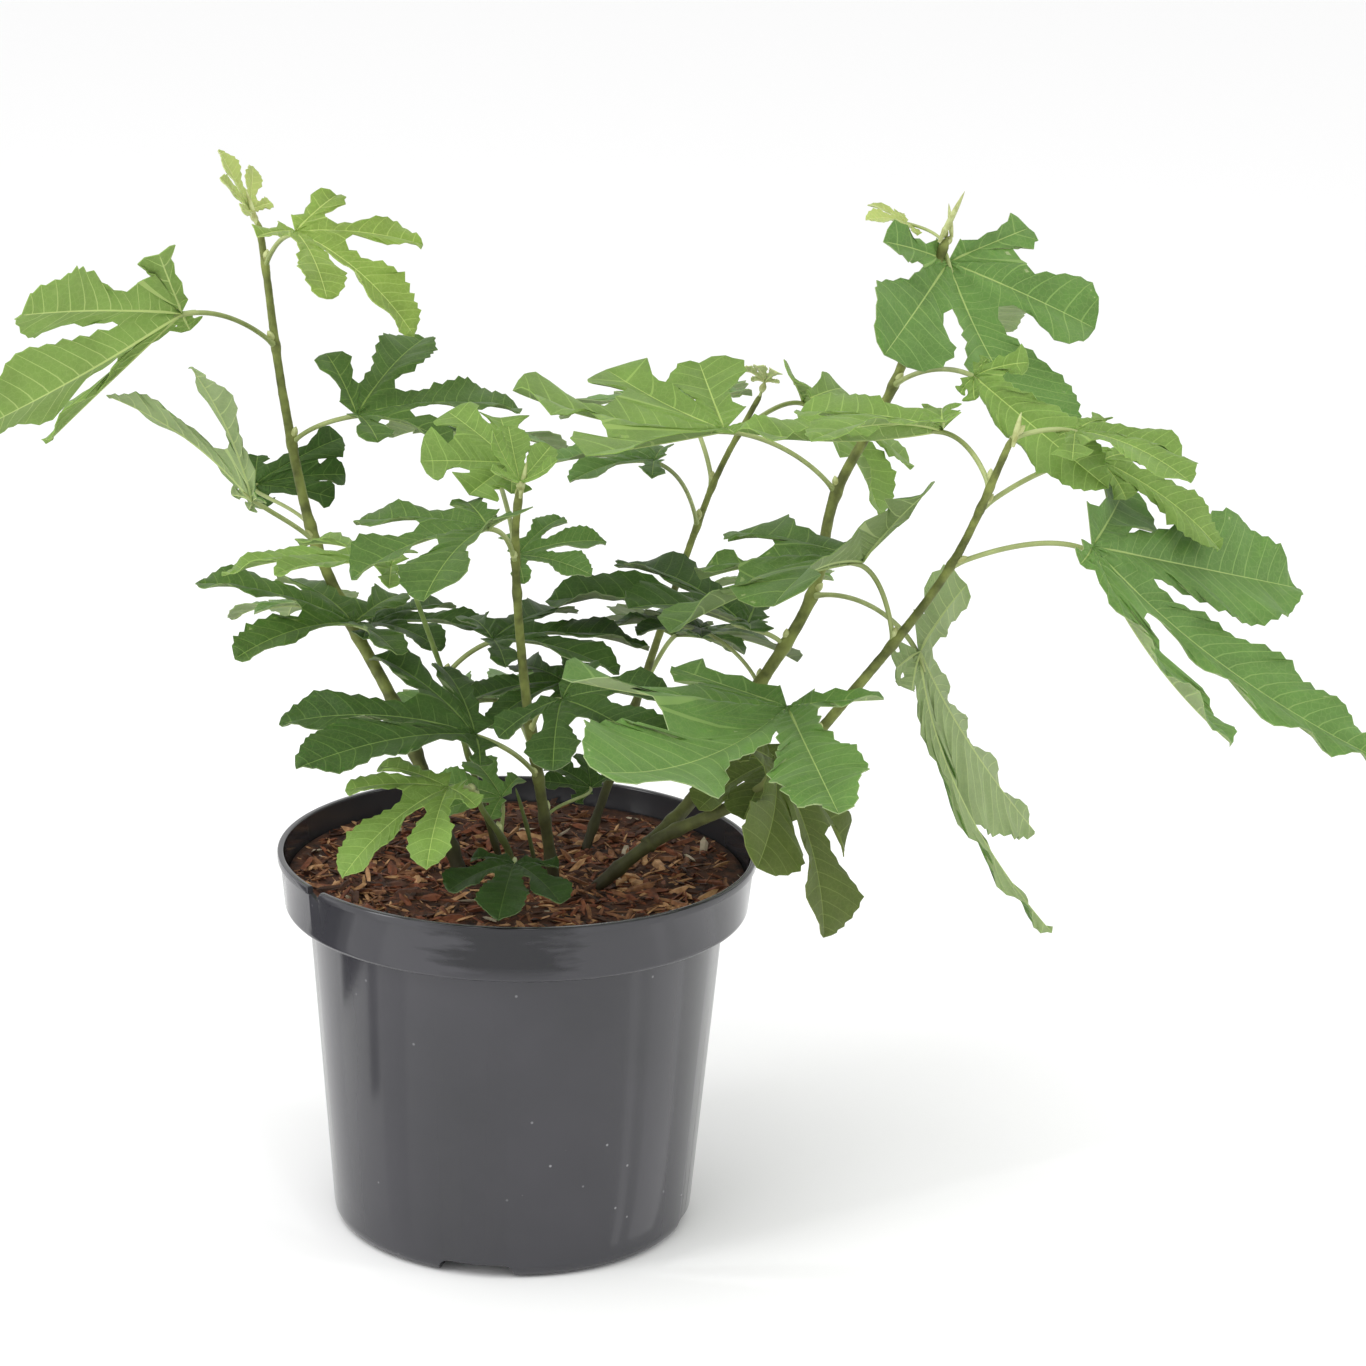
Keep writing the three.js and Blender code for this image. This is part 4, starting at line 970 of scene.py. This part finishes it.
# The veins: how wide the main ones are, and how the side veins are spaced, slant and curve.
VEIN_WIDTH = 0.0017
TIP_VEIN_WIDTH = 0.0004
VEIN_SHARE = 0.14
VEIN_FOOT = 0.8
VEIN_SPACING = 0.0125
SMALL_SPACING = 0.45
TIP_CROWDING = 0.5
VEIN_SLANT = 0.7
VEIN_CURVE = 1.35
# Where the rows of corners lie in one vein's spacing, at the margin and at the middle, and for the left
# half how far each stands out as a tooth and how high the blade arches there; the right half is half a
# spacing further on. Side veins fill the two narrow gaps: one in a groove and one on the arch.
MARGIN_PHASES = (0, 0.012, 0.27, 0.5, 0.512, 0.77)
MIDDLE_PHASES = (0, 0.045, 0.27, 0.5, 0.545, 0.77)
ROW_TEETH = (0.75, 0.7, 0.0, 1.0, 0.95, 0.05)
ROW_ARCHES = (1.0, 1.0, 0.8, 0.0, 0.0, 0.6)
SECOND_VEIN_ROW = 3
# Between the edge and the vein of each half of a lobe: the share of its width, and how much of the arch
# it takes there.
COLUMNS = ((0.74, 0.9), (0.46, 1), (0.2, 0.6))
MIDDLE_COLUMN = len(COLUMNS) + 2
# The kinds of face on the upper side, in the order of their finishes; the same three follow for below.
UPPER, UPPER_SIDE_VEIN, UPPER_VEIN, UNDER = range(4)
# The finish: how far its tones lie apart, its fine relief, and the net of small veins.
LEAF_PATCH = 0.025
LEAF_CONTRAST = 0.4
LEAF_SHADE = 0.28
UNDER_SHADE = 0.2
VEIN_SHADE = 0.1
SIDE_VEIN_SHARES = (0.2, 0.42)
SIDE_RIB_SHARES = (0.5, 0.7)
LEAF_RELIEF = 0.00015
UNDERSIDE_RELIEF = 0.0002
LEAF_GRAIN = 0.0009
LEAF_GLOW = 0.12
LEAF_SHINE = 0.2
LEAF_DOWN = 0.03
DOWN_ROUGHNESS = 0.45
UNDERSIDE_ROUGHNESS = 0.75
NET_CELL = 0.0032
NET_STRAND = 0.09
NET_SHARE = 0.12
NET_RELIEF = 0.00006
LEAF_SMOOTH_ANGLE = math.radians(50)


def eased(share, start, end):
    """A soft climb from nothing at the start to one at the end."""
    share = np.clip((share - start) / (end - start), 0, 1)
    return share * share * (3 - 2 * share)


def on_lobe(leaf, lobe, along, across):
    """Where flat points of a lobe go once it is lifted, drooped, folded along its vein and twisted."""
    parts = ("headings", "lifts", "droops", "twists")
    heading, lift, droop, twist = (math.radians(leaf[part][lobe]) for part in parts)
    reach = leaf["length"] * leaf["lobes"][lobe]
    settled = eased(along / reach, TWIST_START, TWIST_END)
    fold = LOBE_FOLD * np.sign(across) + twist * settled
    bend = droop / reach
    half_turn = bend * along / 2
    slope = lift - bend * along
    chord = along * np.sinc(half_turn / math.pi)
    raised = across * np.sin(fold)
    ahead = chord * np.cos(lift - half_turn) - raised * np.sin(slope)
    above = chord * np.sin(lift - half_turn) + raised * np.cos(slope)
    aside = across * np.cos(fold)
    forward = ahead * math.cos(heading) - aside * math.sin(heading)
    left = ahead * math.sin(heading) + aside * math.cos(heading)
    return np.stack([forward, left, above], axis=-1)


def blade_axes(leaf):
    """The blade's own axes, one a row: forward along its midrib, left across it, up out of it."""
    heading, pitch, roll = map(math.radians, leaf["turn"])
    turn = Matrix.Rotation(heading, 3, "Z") @ Matrix.Rotation(-pitch, 3, "Y") @ Matrix.Rotation(roll, 3, "X")
    return np.array(turn).T


def bent(leaf, flat):
    """Flat points of the blade in their place: one between two veins belongs to both, by nearness."""
    heading = np.degrees(np.arctan2(flat[:, 1], flat[:, 0]))
    radius = np.hypot(flat[:, 0], flat[:, 1])
    headings = leaf["headings"]
    crossed = [1]
    for left, right in zip(headings, headings[1:]):
        crossed.append(eased((left - heading) / (left - right), BLEND_START, BLEND_END))
    crossed.append(0)
    place = 0
    for lobe in range(LOBES):
        off = np.radians(heading - headings[lobe])
        weight = crossed[lobe] - crossed[lobe + 1]
        spot = on_lobe(leaf, lobe, radius * np.cos(off), radius * np.sin(off))
        place = place + np.reshape(weight, (-1, 1)) * spot
    return MM * np.array(leaf["foot"]) + place @ blade_axes(leaf)


def lobe_fullness(share):
    """A lobe's half width so far from its sinuses to its tip, as a share of its full half width."""
    if share < WIDEST:
        return WAIST + (1 - WAIST) * float(eased(share, 0, WIDEST))
    return max(0, 1 - ((share - WIDEST) / (1 - WIDEST)) ** BLUNTNESS) ** TIP_FULLNESS


def crowded(share):
    """Rows stand closer together towards the tip of a lobe."""
    return share * (1 + TIP_CROWDING) - TIP_CROWDING * share * share


class FlatBlade:
    """A blade laid flat: its spots, what each adds to the blade's height and ribs, its faces and rim."""

    def __init__(self, leaf):
        self.leaf = leaf
        self.dice = random.Random(leaf["name"])
        self.spots = [(0.0, 0.0)]
        self.relief = [(0.0, RIB_HEIGHT)]
        self.faces = []
        self.kinds = []
        self.size = leaf["length"] / FULL_LEAF
        self.grown = min(1, self.size)
        self.spacing = VEIN_SPACING * max(SMALL_SPACING, self.grown)
        self.reaches = [leaf["length"] * lobe for lobe in leaf["lobes"]]
        headings = leaf["headings"]
        middles = [(left + right) / 2 for left, right in zip(headings, headings[1:])]
        self.edges = [REAR_HEADING, *middles, -REAR_HEADING]
        self.depths = [self.sinus_depth(edge) for edge in range(LOBES + 1)]
        mean_depth = sum(self.depths[1:LOBES]) / (LOBES - 1)
        self.palm_periods = max(1, round(mean_depth / self.spacing))
        palm_rows = [
            (period + phase) / self.palm_periods
            for period in range(self.palm_periods)
            for phase in MARGIN_PHASES
            if period + phase > 0
        ]
        self.creases = [
            [self.spot(edge, depth * row, 0) for row in palm_rows]
            for edge, depth in zip(self.edges, self.depths)
        ]
        self.sinuses = [self.spot(edge, depth, 0) for edge, depth in zip(self.edges, self.depths)]
        self.rim = list(self.creases[0])
        for lobe in range(LOBES):
            self.add_lobe(lobe)
        self.rim += [self.sinuses[-1], *reversed(self.creases[-1]), 0]

    def sinus_depth(self, edge):
        lobes = self.leaf["lobes"]
        beside = min(lobes[max(edge - 1, 0)], lobes[min(edge, LOBES - 1)])
        return self.leaf["length"] * min(self.leaf["sinuses"][edge], DEEPEST_SINUS * beside)

    def spot(self, heading, along, across, rise=0, rib=0):
        """One more spot, so far out along a heading and across it to the left. Gives its number."""
        turn = math.radians(heading)
        x = along * math.cos(turn) - across * math.sin(turn)
        y = along * math.sin(turn) + across * math.cos(turn)
        self.spots.append((x, y))
        self.relief.append((rise, rib))
        return len(self.spots) - 1

    def row(self, lobe, along, phase, ends, waves):
        """A row of spots from a lobe's left end to its right one, given the middle's place on the vein."""
        heading = self.leaf["headings"][lobe]
        turn = math.radians(heading)
        taper = max(0, 1 - along / self.reaches[lobe])
        half_vein = TIP_VEIN_WIDTH / 2 + (VEIN_WIDTH * self.grown - TIP_VEIN_WIDTH) * taper / 2
        halves = []
        for end, arch, wave in zip(ends, (ROW_ARCHES[phase], ROW_ARCHES[phase - SECOND_VEIN_ROW]), waves):
            x, y = self.spots[end]
            end_along = x * math.cos(turn) + y * math.sin(turn)
            end_across = y * math.cos(turn) - x * math.sin(turn)
            span = math.hypot(end_along - along, end_across)
            side_rib = SIDE_RIB if arch == 0 else 0
            half = [end]
            for share, part in COLUMNS:
                rise = ARCH_RISE * arch * part * self.grown + wave * share * share
                spot_along = along + share**VEIN_CURVE * (end_along - along)
                half.append(self.spot(heading, spot_along, share * end_across, rise, side_rib))
            share = min(VEIN_SHARE, half_vein / max(span, half_vein))
            spot_along = along + share * (end_along - along)
            half.append(self.spot(heading, spot_along, share * end_across, 0, RIB_HEIGHT * taper * RIB_FLANK))
            halves.append(half)
        rib = RIB_HEIGHT * (TIP_RIB + (1 - TIP_RIB) * taper)
        middle = self.spot(heading, along, 0, -RIB_HEIGHT * taper * GROOVE, rib)
        left, right = halves
        return [*left, middle, *reversed(right)]

    def margin(self, lobe, side, share, drift, tooth):
        """Where a lobe's margin runs on one side, some share of the way from its sinus to its tip."""
        leaf = self.leaf
        lobe_share = min(1, leaf["lobes"][lobe])
        fullness = SHORT_LOBE_FULLNESS + (LONG_LOBE_FULLNESS - SHORT_LOBE_FULLNESS) * lobe_share
        width = leaf["width"] * leaf["length"] * leaf["widths"][lobe] * fullness
        reach = self.reaches[lobe]
        start = max(self.depths[lobe], self.depths[lobe + 1])
        depth = self.depths[lobe + side]
        off = math.radians(abs(self.edges[lobe + side] - leaf["headings"][lobe]))
        along = depth * math.cos(off) + share * (reach - depth * math.cos(off))
        full = width * drift * lobe_fullness(min(1, max(0, (along - start) / (reach - start))))
        settled = math.sqrt(1 - (1 - min(1, share / SINUS_ROUND)) ** 2)
        across = depth * math.sin(off) * (1 - settled) + (full + tooth) * settled
        return along, (1 - 2 * side) * across

    def add_lobe(self, lobe):
        """One lobe: its rows across the palm between two creases, then those out to its tip."""
        heading = self.leaf["headings"][lobe]
        reach = self.reaches[lobe]
        start = max(self.depths[lobe], self.depths[lobe + 1])
        vein_start = VEIN_FOOT * min(self.depths[lobe], self.depths[lobe + 1])
        periods = max(2, round((reach - start) / self.spacing))
        drifts = [(self.dice.uniform(*ANY_PHASE), self.dice.uniform(*ANY_PHASE)) for _ in range(2)]
        sizes = [[self.dice.uniform(*TOOTH_SIZES) for _ in range(2 * periods + 2)] for _ in range(2)]
        lively = 1 if self.leaf["lobes"][lobe] > STUB_LOBE else 0
        rows = []
        phases = []
        for step, ends in enumerate(zip(self.creases[lobe], self.creases[lobe + 1]), 1):
            period, phase = divmod(step, len(MIDDLE_PHASES))
            along = vein_start * (period + MIDDLE_PHASES[phase]) / self.palm_periods
            rows.append(self.row(lobe, along, phase, ends, (0, 0)))
            phases.append(phase)
        margins = ([], [])
        for step in range(periods * len(MARGIN_PHASES)):
            period, phase = divmod(step, len(MARGIN_PHASES))
            place = period + MARGIN_PHASES[phase]
            share = crowded(place / periods)
            vein_share = crowded((period + MIDDLE_PHASES[phase]) / periods)
            vein_share -= VEIN_SLANT * vein_share * (1 - vein_share)
            ends = [self.sinuses[lobe], self.sinuses[lobe + 1]]
            waves = []
            for side, (bulge, swing) in enumerate(drifts):
                wave = math.sin(2 * math.pi * place / WAVE_PERIODS + swing) * min(1, WAVE_ONSET * share)
                waves.append(lively * MARGIN_WAVE * self.size * wave)
                if step > 0:
                    drift = 1 + lively * EDGE_DRIFT * math.sin(EDGE_DRIFT_PACE * share + bulge)
                    second = phase >= SECOND_VEIN_ROW
                    tooth = lively * TOOTH * self.spacing * sizes[side][2 * period + second]
                    tooth *= ROW_TEETH[phase - SECOND_VEIN_ROW * side]
                    end_along, end_across = self.margin(lobe, side, share, drift, tooth)
                    ends[side] = self.spot(heading, end_along, end_across, waves[side])
                    margins[side].append(ends[side])
            rows.append(self.row(lobe, vein_start + vein_share * (reach - vein_start), phase, ends, waves))
            phases.append(phase)
        tip = self.spot(heading, reach, 0)
        self.knit(rows, phases, tip)
        left, right = margins
        self.rim += [self.sinuses[lobe], *left, tip, *reversed(right)]

    def knit(self, rows, phases, tip):
        """Faces between the rows, with a fan at the foot and one at the tip, and each one's kind of vein."""
        columns = range(2 * MIDDLE_COLUMN)
        main_vein = (MIDDLE_COLUMN - 1, MIDDLE_COLUMN)
        for column in columns:
            kind = UPPER_VEIN if column in main_vein else UPPER
            self.faces.append((rows[0][column + 1], rows[0][column], 0))
            self.faces.append((rows[-1][column], rows[-1][column + 1], tip))
            self.kinds += [kind, kind]
        for row, after, phase in zip(rows, rows[1:], phases):
            for column in columns:
                kind = UPPER_SIDE_VEIN if phase in (0, SECOND_VEIN_ROW) else UPPER
                if column in main_vein:
                    kind = UPPER_VEIN
                self.faces.append((row[column], row[column + 1], after[column + 1], after[column]))
                self.kinds.append(kind)


def fine_blade(leaf):
    """One leaf's blade as a closed thin sheet: its corners, its faces and the slot each face takes."""
    laid = FlatBlade(leaf)
    flat = np.array(laid.spots)
    rise, rib = np.array(laid.relief).T
    step_x = np.array([NORMAL_STEP, 0])
    step_y = np.array([0, NORMAL_STEP])
    ahead = bent(leaf, flat + step_x) - bent(leaf, flat - step_x)
    aside = bent(leaf, flat + step_y) - bent(leaf, flat - step_y)
    normal = np.cross(ahead, aside)
    normal /= np.linalg.norm(normal, axis=1, keepdims=True)
    here = bent(leaf, flat)
    upper = here + normal * (rise + BLADE_THICKNESS / 2)[:, None]
    lower = here + normal * (rise - rib - BLADE_THICKNESS / 2)[:, None]
    under = len(flat)
    faces = laid.faces + [tuple(under + i for i in reversed(face)) for face in laid.faces]
    slots = laid.kinds + [UNDER + kind for kind in laid.kinds]
    for corner, after in zip(laid.rim, laid.rim[1:] + laid.rim[:1]):
        faces.append((corner, after, under + after, under + corner))
        slots.append(UNDER)
    return np.vstack([upper, lower]), faces, slots


def toned(colour, share, towards):
    """A colour some share of the way towards another."""
    return tuple(part + share * (there - part) for part, there in zip(colour, towards))


def add_net(finish, thread):
    """A fine net of small veins over a finish, paler and standing a hair out of the blade."""
    cells = {"Vector": place_in(finish), "Scale": 1 / NET_CELL}
    edge = add_node(finish, "TexVoronoi", cells, feature="DISTANCE_TO_EDGE").outputs["Distance"]
    falling = {"From Max": NET_STRAND, "To Min": NET_SHARE, "To Max": 0}
    strand = add_node(finish, "MapRange", {"Value": edge, **falling}).outputs["Result"]
    grain = finish.node_tree.nodes["grain"].outputs["Normal"]
    relief = {"Height": strand, "Normal": grain, "Distance": NET_RELIEF, "Strength": 1}
    bump = add_node(finish, "Bump", relief)
    colour = mixed(finish, strand, colour_in(finish), thread)
    feed_shader(finish, {"Base Color": colour, "Normal": bump.outputs["Normal"]})


def leaf_finishes(tone, upper, under, vein, rib, roughness):
    """The six finishes of a leaf of one tone: blade, side veins and main veins, above and then below."""
    parts = [
        ("leaf", toned(upper, LEAF_SHADE, BLACK), upper, roughness, LEAF_RELIEF, vein),
        ("side vein", *(toned(upper, share, vein) for share in SIDE_VEIN_SHARES), roughness, 0, None),
        ("vein", toned(vein, VEIN_SHADE, BLACK), vein, roughness, 0, None),
        ("underside", toned(under, UNDER_SHADE, BLACK), under, UNDERSIDE_ROUGHNESS, UNDERSIDE_RELIEF, rib),
        ("side rib", *(toned(under, share, rib) for share in SIDE_RIB_SHARES), UNDERSIDE_ROUGHNESS, 0, None),
        ("rib", toned(rib, VEIN_SHADE, BLACK), rib, UNDERSIDE_ROUGHNESS, 0, None),
    ]
    down = {"Sheen Weight": LEAF_DOWN, "Sheen Roughness": DOWN_ROUGHNESS}
    finishes = []
    for part, dark, light, rough, grain, thread in parts:
        name = tone + " " + part
        finish = mottled(name, dark, light, LEAF_PATCH, rough, grain, LEAF_GRAIN, LEAF_CONTRAST, LEAF_GLOW)
        feed_shader(finish, {"Specular IOR Level": LEAF_SHINE, **down})
        if thread:
            add_net(finish, thread)
        finishes.append(finish)
    return finishes


# Each tone's colours: the blade above and below, and the veins above and below. The deep and shaded tones are
# painted shade: darker copies of the leaf colours for leaves that sit low in the plant.
TONES = {
    "tip": dict(roughness=0.5, upper=(0.38, 0.45, 0.13, 1), under=(0.5, 0.56, 0.26, 1),
                vein=(0.55, 0.6, 0.25, 1), rib=(0.6, 0.64, 0.32, 1)),
    "young": dict(roughness=0.5, upper=(0.2, 0.3, 0.05, 1), under=(0.33, 0.43, 0.12, 1),
                  vein=(0.46, 0.56, 0.17, 1), rib=(0.52, 0.6, 0.22, 1)),
    "bright": dict(roughness=0.5, upper=(0.17, 0.28, 0.055, 1), under=(0.23, 0.35, 0.085, 1),
                   vein=(0.38, 0.5, 0.14, 1), rib=(0.46, 0.56, 0.2, 1)),
    "middle": dict(roughness=0.52, upper=(0.12, 0.232, 0.051, 1), under=(0.26, 0.34, 0.15, 1),
                   vein=(0.33, 0.44, 0.14, 1), rib=(0.4, 0.48, 0.2, 1)),
    # Painted shade: a darker copy of the leaf colours for leaves in shade.
    "deep": dict(roughness=0.52, upper=(0.07, 0.14, 0.023, 1), under=(0.16, 0.23, 0.075, 1),
                 vein=(0.23, 0.33, 0.08, 1), rib=(0.32, 0.4, 0.15, 1)),
    "dark": dict(roughness=0.52, upper=(0.041, 0.089, 0.014, 1), under=(0.15, 0.195, 0.09, 1),
                 vein=(0.16, 0.25, 0.06, 1), rib=(0.26, 0.32, 0.12, 1)),
    # Painted shade: the darkest copy, for a small leaf low on the mulch.
    "shaded": dict(roughness=0.5, upper=(0.018, 0.044, 0.005, 1), under=(0.06, 0.09, 0.03, 1),
                   vein=(0.06, 0.1, 0.025, 1), rib=(0.12, 0.16, 0.05, 1)),
    "olive": dict(roughness=0.6, upper=(0.088, 0.122, 0.022, 1), under=(0.14, 0.17, 0.046, 1),
                  vein=(0.2, 0.25, 0.07, 1), rib=(0.28, 0.3, 0.12, 1)),
}

full_leaves = [{**USUAL_LEAF, **leaf, "length": MM * leaf["length"]} for leaf in LEAVES]
for tone, colours in TONES.items():
    members = [leaf for leaf in full_leaves if leaf["tone"] == tone]
    blades = joined("leaves_" + tone, [fine_blade(leaf) for leaf in members])
    for finish in leaf_finishes(tone, **colours):
        blades.data.materials.append(finish)
    bpy.ops.object.shade_smooth_by_angle(angle=LEAF_SMOOTH_ANGLE)
    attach(blades, "root")
    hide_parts(*[leaf["name"] for leaf in members])


# Leaf stalks: round and springy, pale yellow-green, thicker at the joint and slimmer at the end under the
# blade. Each leaves its joint at a slant, arches over and runs on a little under its blade.
STALK_RADIUS = 0.0012
SLIMMEST_STALK = 0.5
FULL_STALK_LEAF = 0.075
STALK_SUNK = 0.07
STALK_LEAN = 0.5
STALK_RISE = 0.33
STALK_ARCH = 0.2
STALK_SIDES = 10
STALK_STEPS = 28
STALK_HEEL = 0.6
STALK_HEEL_REACH = 0.06
STALK_END = 0.9
STALK_END_SLIMMING = 0.6
NEARLY_UPRIGHT = 0.9


def tube(points, radii, sides):
    """A closed round tube along points, with a radius at each: corners, faces and their slots."""
    points = np.asarray(points)
    runs = np.gradient(points, axis=0)
    runs /= np.linalg.norm(runs, axis=1, keepdims=True)
    aside = np.cross(runs[0], (0, 0, 1) if abs(runs[0][2]) < NEARLY_UPRIGHT else (1, 0, 0))
    corners = []
    for point, run, radius in zip(points, runs, radii):
        aside = aside - run * np.dot(aside, run)
        aside /= np.linalg.norm(aside)
        ahead = np.cross(run, aside)
        for side in range(sides):
            turn = 2 * math.pi * side / sides
            corners.append(point + radius * (math.cos(turn) * aside + math.sin(turn) * ahead))
    faces = []
    for ring in range(len(points) - 1):
        low = ring * sides
        for side in range(sides):
            beside = (side + 1) % sides
            faces.append((low + side, low + beside, low + sides + beside, low + sides + side))
    faces.append(tuple(reversed(range(sides))))
    faces.append(tuple(range(len(corners) - sides, len(corners))))
    return corners, faces, [0] * len(faces)


def leaf_joint(leaf):
    """Where a leaf's stalk leaves the middle of its stem, and which way the stem runs there."""
    stem = next(stem for stem in STEMS if stem["name"] == leaf["stem"])
    points, _ = limb_middle(stem["course"])
    height = MM * leaf["at"]
    after = int(np.searchsorted(points[:, 2], height))
    low, high = points[after - 1], points[after]
    share = (height - low[2]) / (high[2] - low[2])
    return low + share * (high - low), (high - low) / np.linalg.norm(high - low)


def stalk_path(leaf):
    """The middle of a leaf's stalk, from its joint to a little way under its blade."""
    node, tangent = leaf_joint(leaf)
    foot = MM * np.array(leaf["foot"])
    forward = blade_axes(leaf)[0]
    span = np.linalg.norm(foot - node)
    away = (foot - node) / span + STALK_LEAN * tangent
    away /= np.linalg.norm(away)
    leave = node + away * span * STALK_RISE
    enter = foot - forward * span * STALK_ARCH
    rib = foot + forward * leaf["length"] * STALK_SUNK
    share = np.linspace(0, 1, STALK_STEPS + 1)[:, None]
    back = 1 - share
    return back**3 * node + 3 * back**2 * share * leave + 3 * back * share**2 * enter + share**3 * rib


def stalk(leaf):
    grown_share = min(1, leaf["length"] / FULL_STALK_LEAF)
    radius = STALK_RADIUS * (SLIMMEST_STALK + (1 - SLIMMEST_STALK) * grown_share)
    share = np.linspace(0, 1, STALK_STEPS + 1)
    heel = 1 + STALK_HEEL * np.exp(-((share / STALK_HEEL_REACH) ** 2))
    end = 1 - STALK_END_SLIMMING * eased(share, STALK_END, 1)
    return tube(stalk_path(leaf), radius * heel * end, STALK_SIDES)


stalks = joined("leaf_stalks", [stalk(leaf) for leaf in full_leaves])
stalk_finish = mottled(
    "leaf stalk",
    dark=(0.22, 0.27, 0.08, 1),
    light=(0.36, 0.42, 0.16, 1),
    patch=0.02,
    roughness=0.45,
    grain=0.00005,
    grain_size=0.001,
)
stalks.data.materials.append(stalk_finish)
bpy.ops.object.shade_smooth_by_angle(angle=LEAF_SMOOTH_ANGLE)
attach(stalks, "root")


# Buds: a small pointed bud sits in the joint over each stalk, and a slim pale sheath stands by the growing
# tips of the limbs.
BUD_STEPS = 8
BUD_SIDES = 8
BUD_FOOT = 0.18
BUD_ROUNDNESS = 0.8
BUD_TIP = 0.03
SIDE_BUD_LENGTH = 0.006
SIDE_BUD_RADIUS = 0.0018
SIDE_BUD_RISE = 0.003
SIDE_BUD_OUT = 0.0012
SIDE_BUD_UPRIGHT = 0.8
SIDE_BUD_LEAN = 0.5
NEAR_STALK_STEP = 4
TIP_SHEATHS = [
    dict(at=(192, 58, 472), to=(203, 56, 497), radius=1.5),
    dict(at=(198, 60, 474), to=(196, 62, 490), radius=1.2),
    dict(at=(219, -92, 408), to=(222, -93, 424), radius=1.4),
    dict(at=(-131, 72, 468), to=(-137, 74, 486), radius=1.3),
    dict(at=(1, -55, 370), to=(4, -58, 388), radius=1.3),
]


def bud(foot, tip, radius):
    """A bud from its foot to its tip, fullest low down."""
    share = np.linspace(0, 1, BUD_STEPS + 1)
    swell = np.sin(math.pi * (BUD_FOOT + (1 - BUD_FOOT) * share)) ** BUD_ROUNDNESS
    points = foot + share[:, None] * (tip - foot)
    return tube(points, radius * np.maximum(BUD_TIP, swell), BUD_SIDES)


def side_bud(leaf):
    """The bud that sits between a leaf's stalk and the stem."""
    node, tangent = leaf_joint(leaf)
    away = stalk_path(leaf)[NEAR_STALK_STEP] - node
    away -= tangent * np.dot(away, tangent)
    away /= np.linalg.norm(away)
    foot = node + tangent * SIDE_BUD_RISE + away * SIDE_BUD_OUT
    tip = foot + (tangent * SIDE_BUD_UPRIGHT + away * SIDE_BUD_LEAN) * SIDE_BUD_LENGTH
    return bud(foot, tip, SIDE_BUD_RADIUS)


def tip_sheath(at, to, radius):
    return bud(MM * np.array(at, float), MM * np.array(to, float), MM * radius)


all_buds = [side_bud(leaf) for leaf in full_leaves] + [tip_sheath(**sheath) for sheath in TIP_SHEATHS]
buds = joined("buds", all_buds)
bud_finish = mottled(
    "pale bud",
    dark=(0.3, 0.32, 0.1, 1),
    light=(0.5, 0.55, 0.25, 1),
    patch=0.004,
    roughness=0.5,
    grain=0.0001,
    grain_size=0.001,
)
buds.data.materials.append(bud_finish)
bpy.ops.object.shade_smooth_by_angle(angle=LEAF_SMOOTH_ANGLE)
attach(buds, "root")
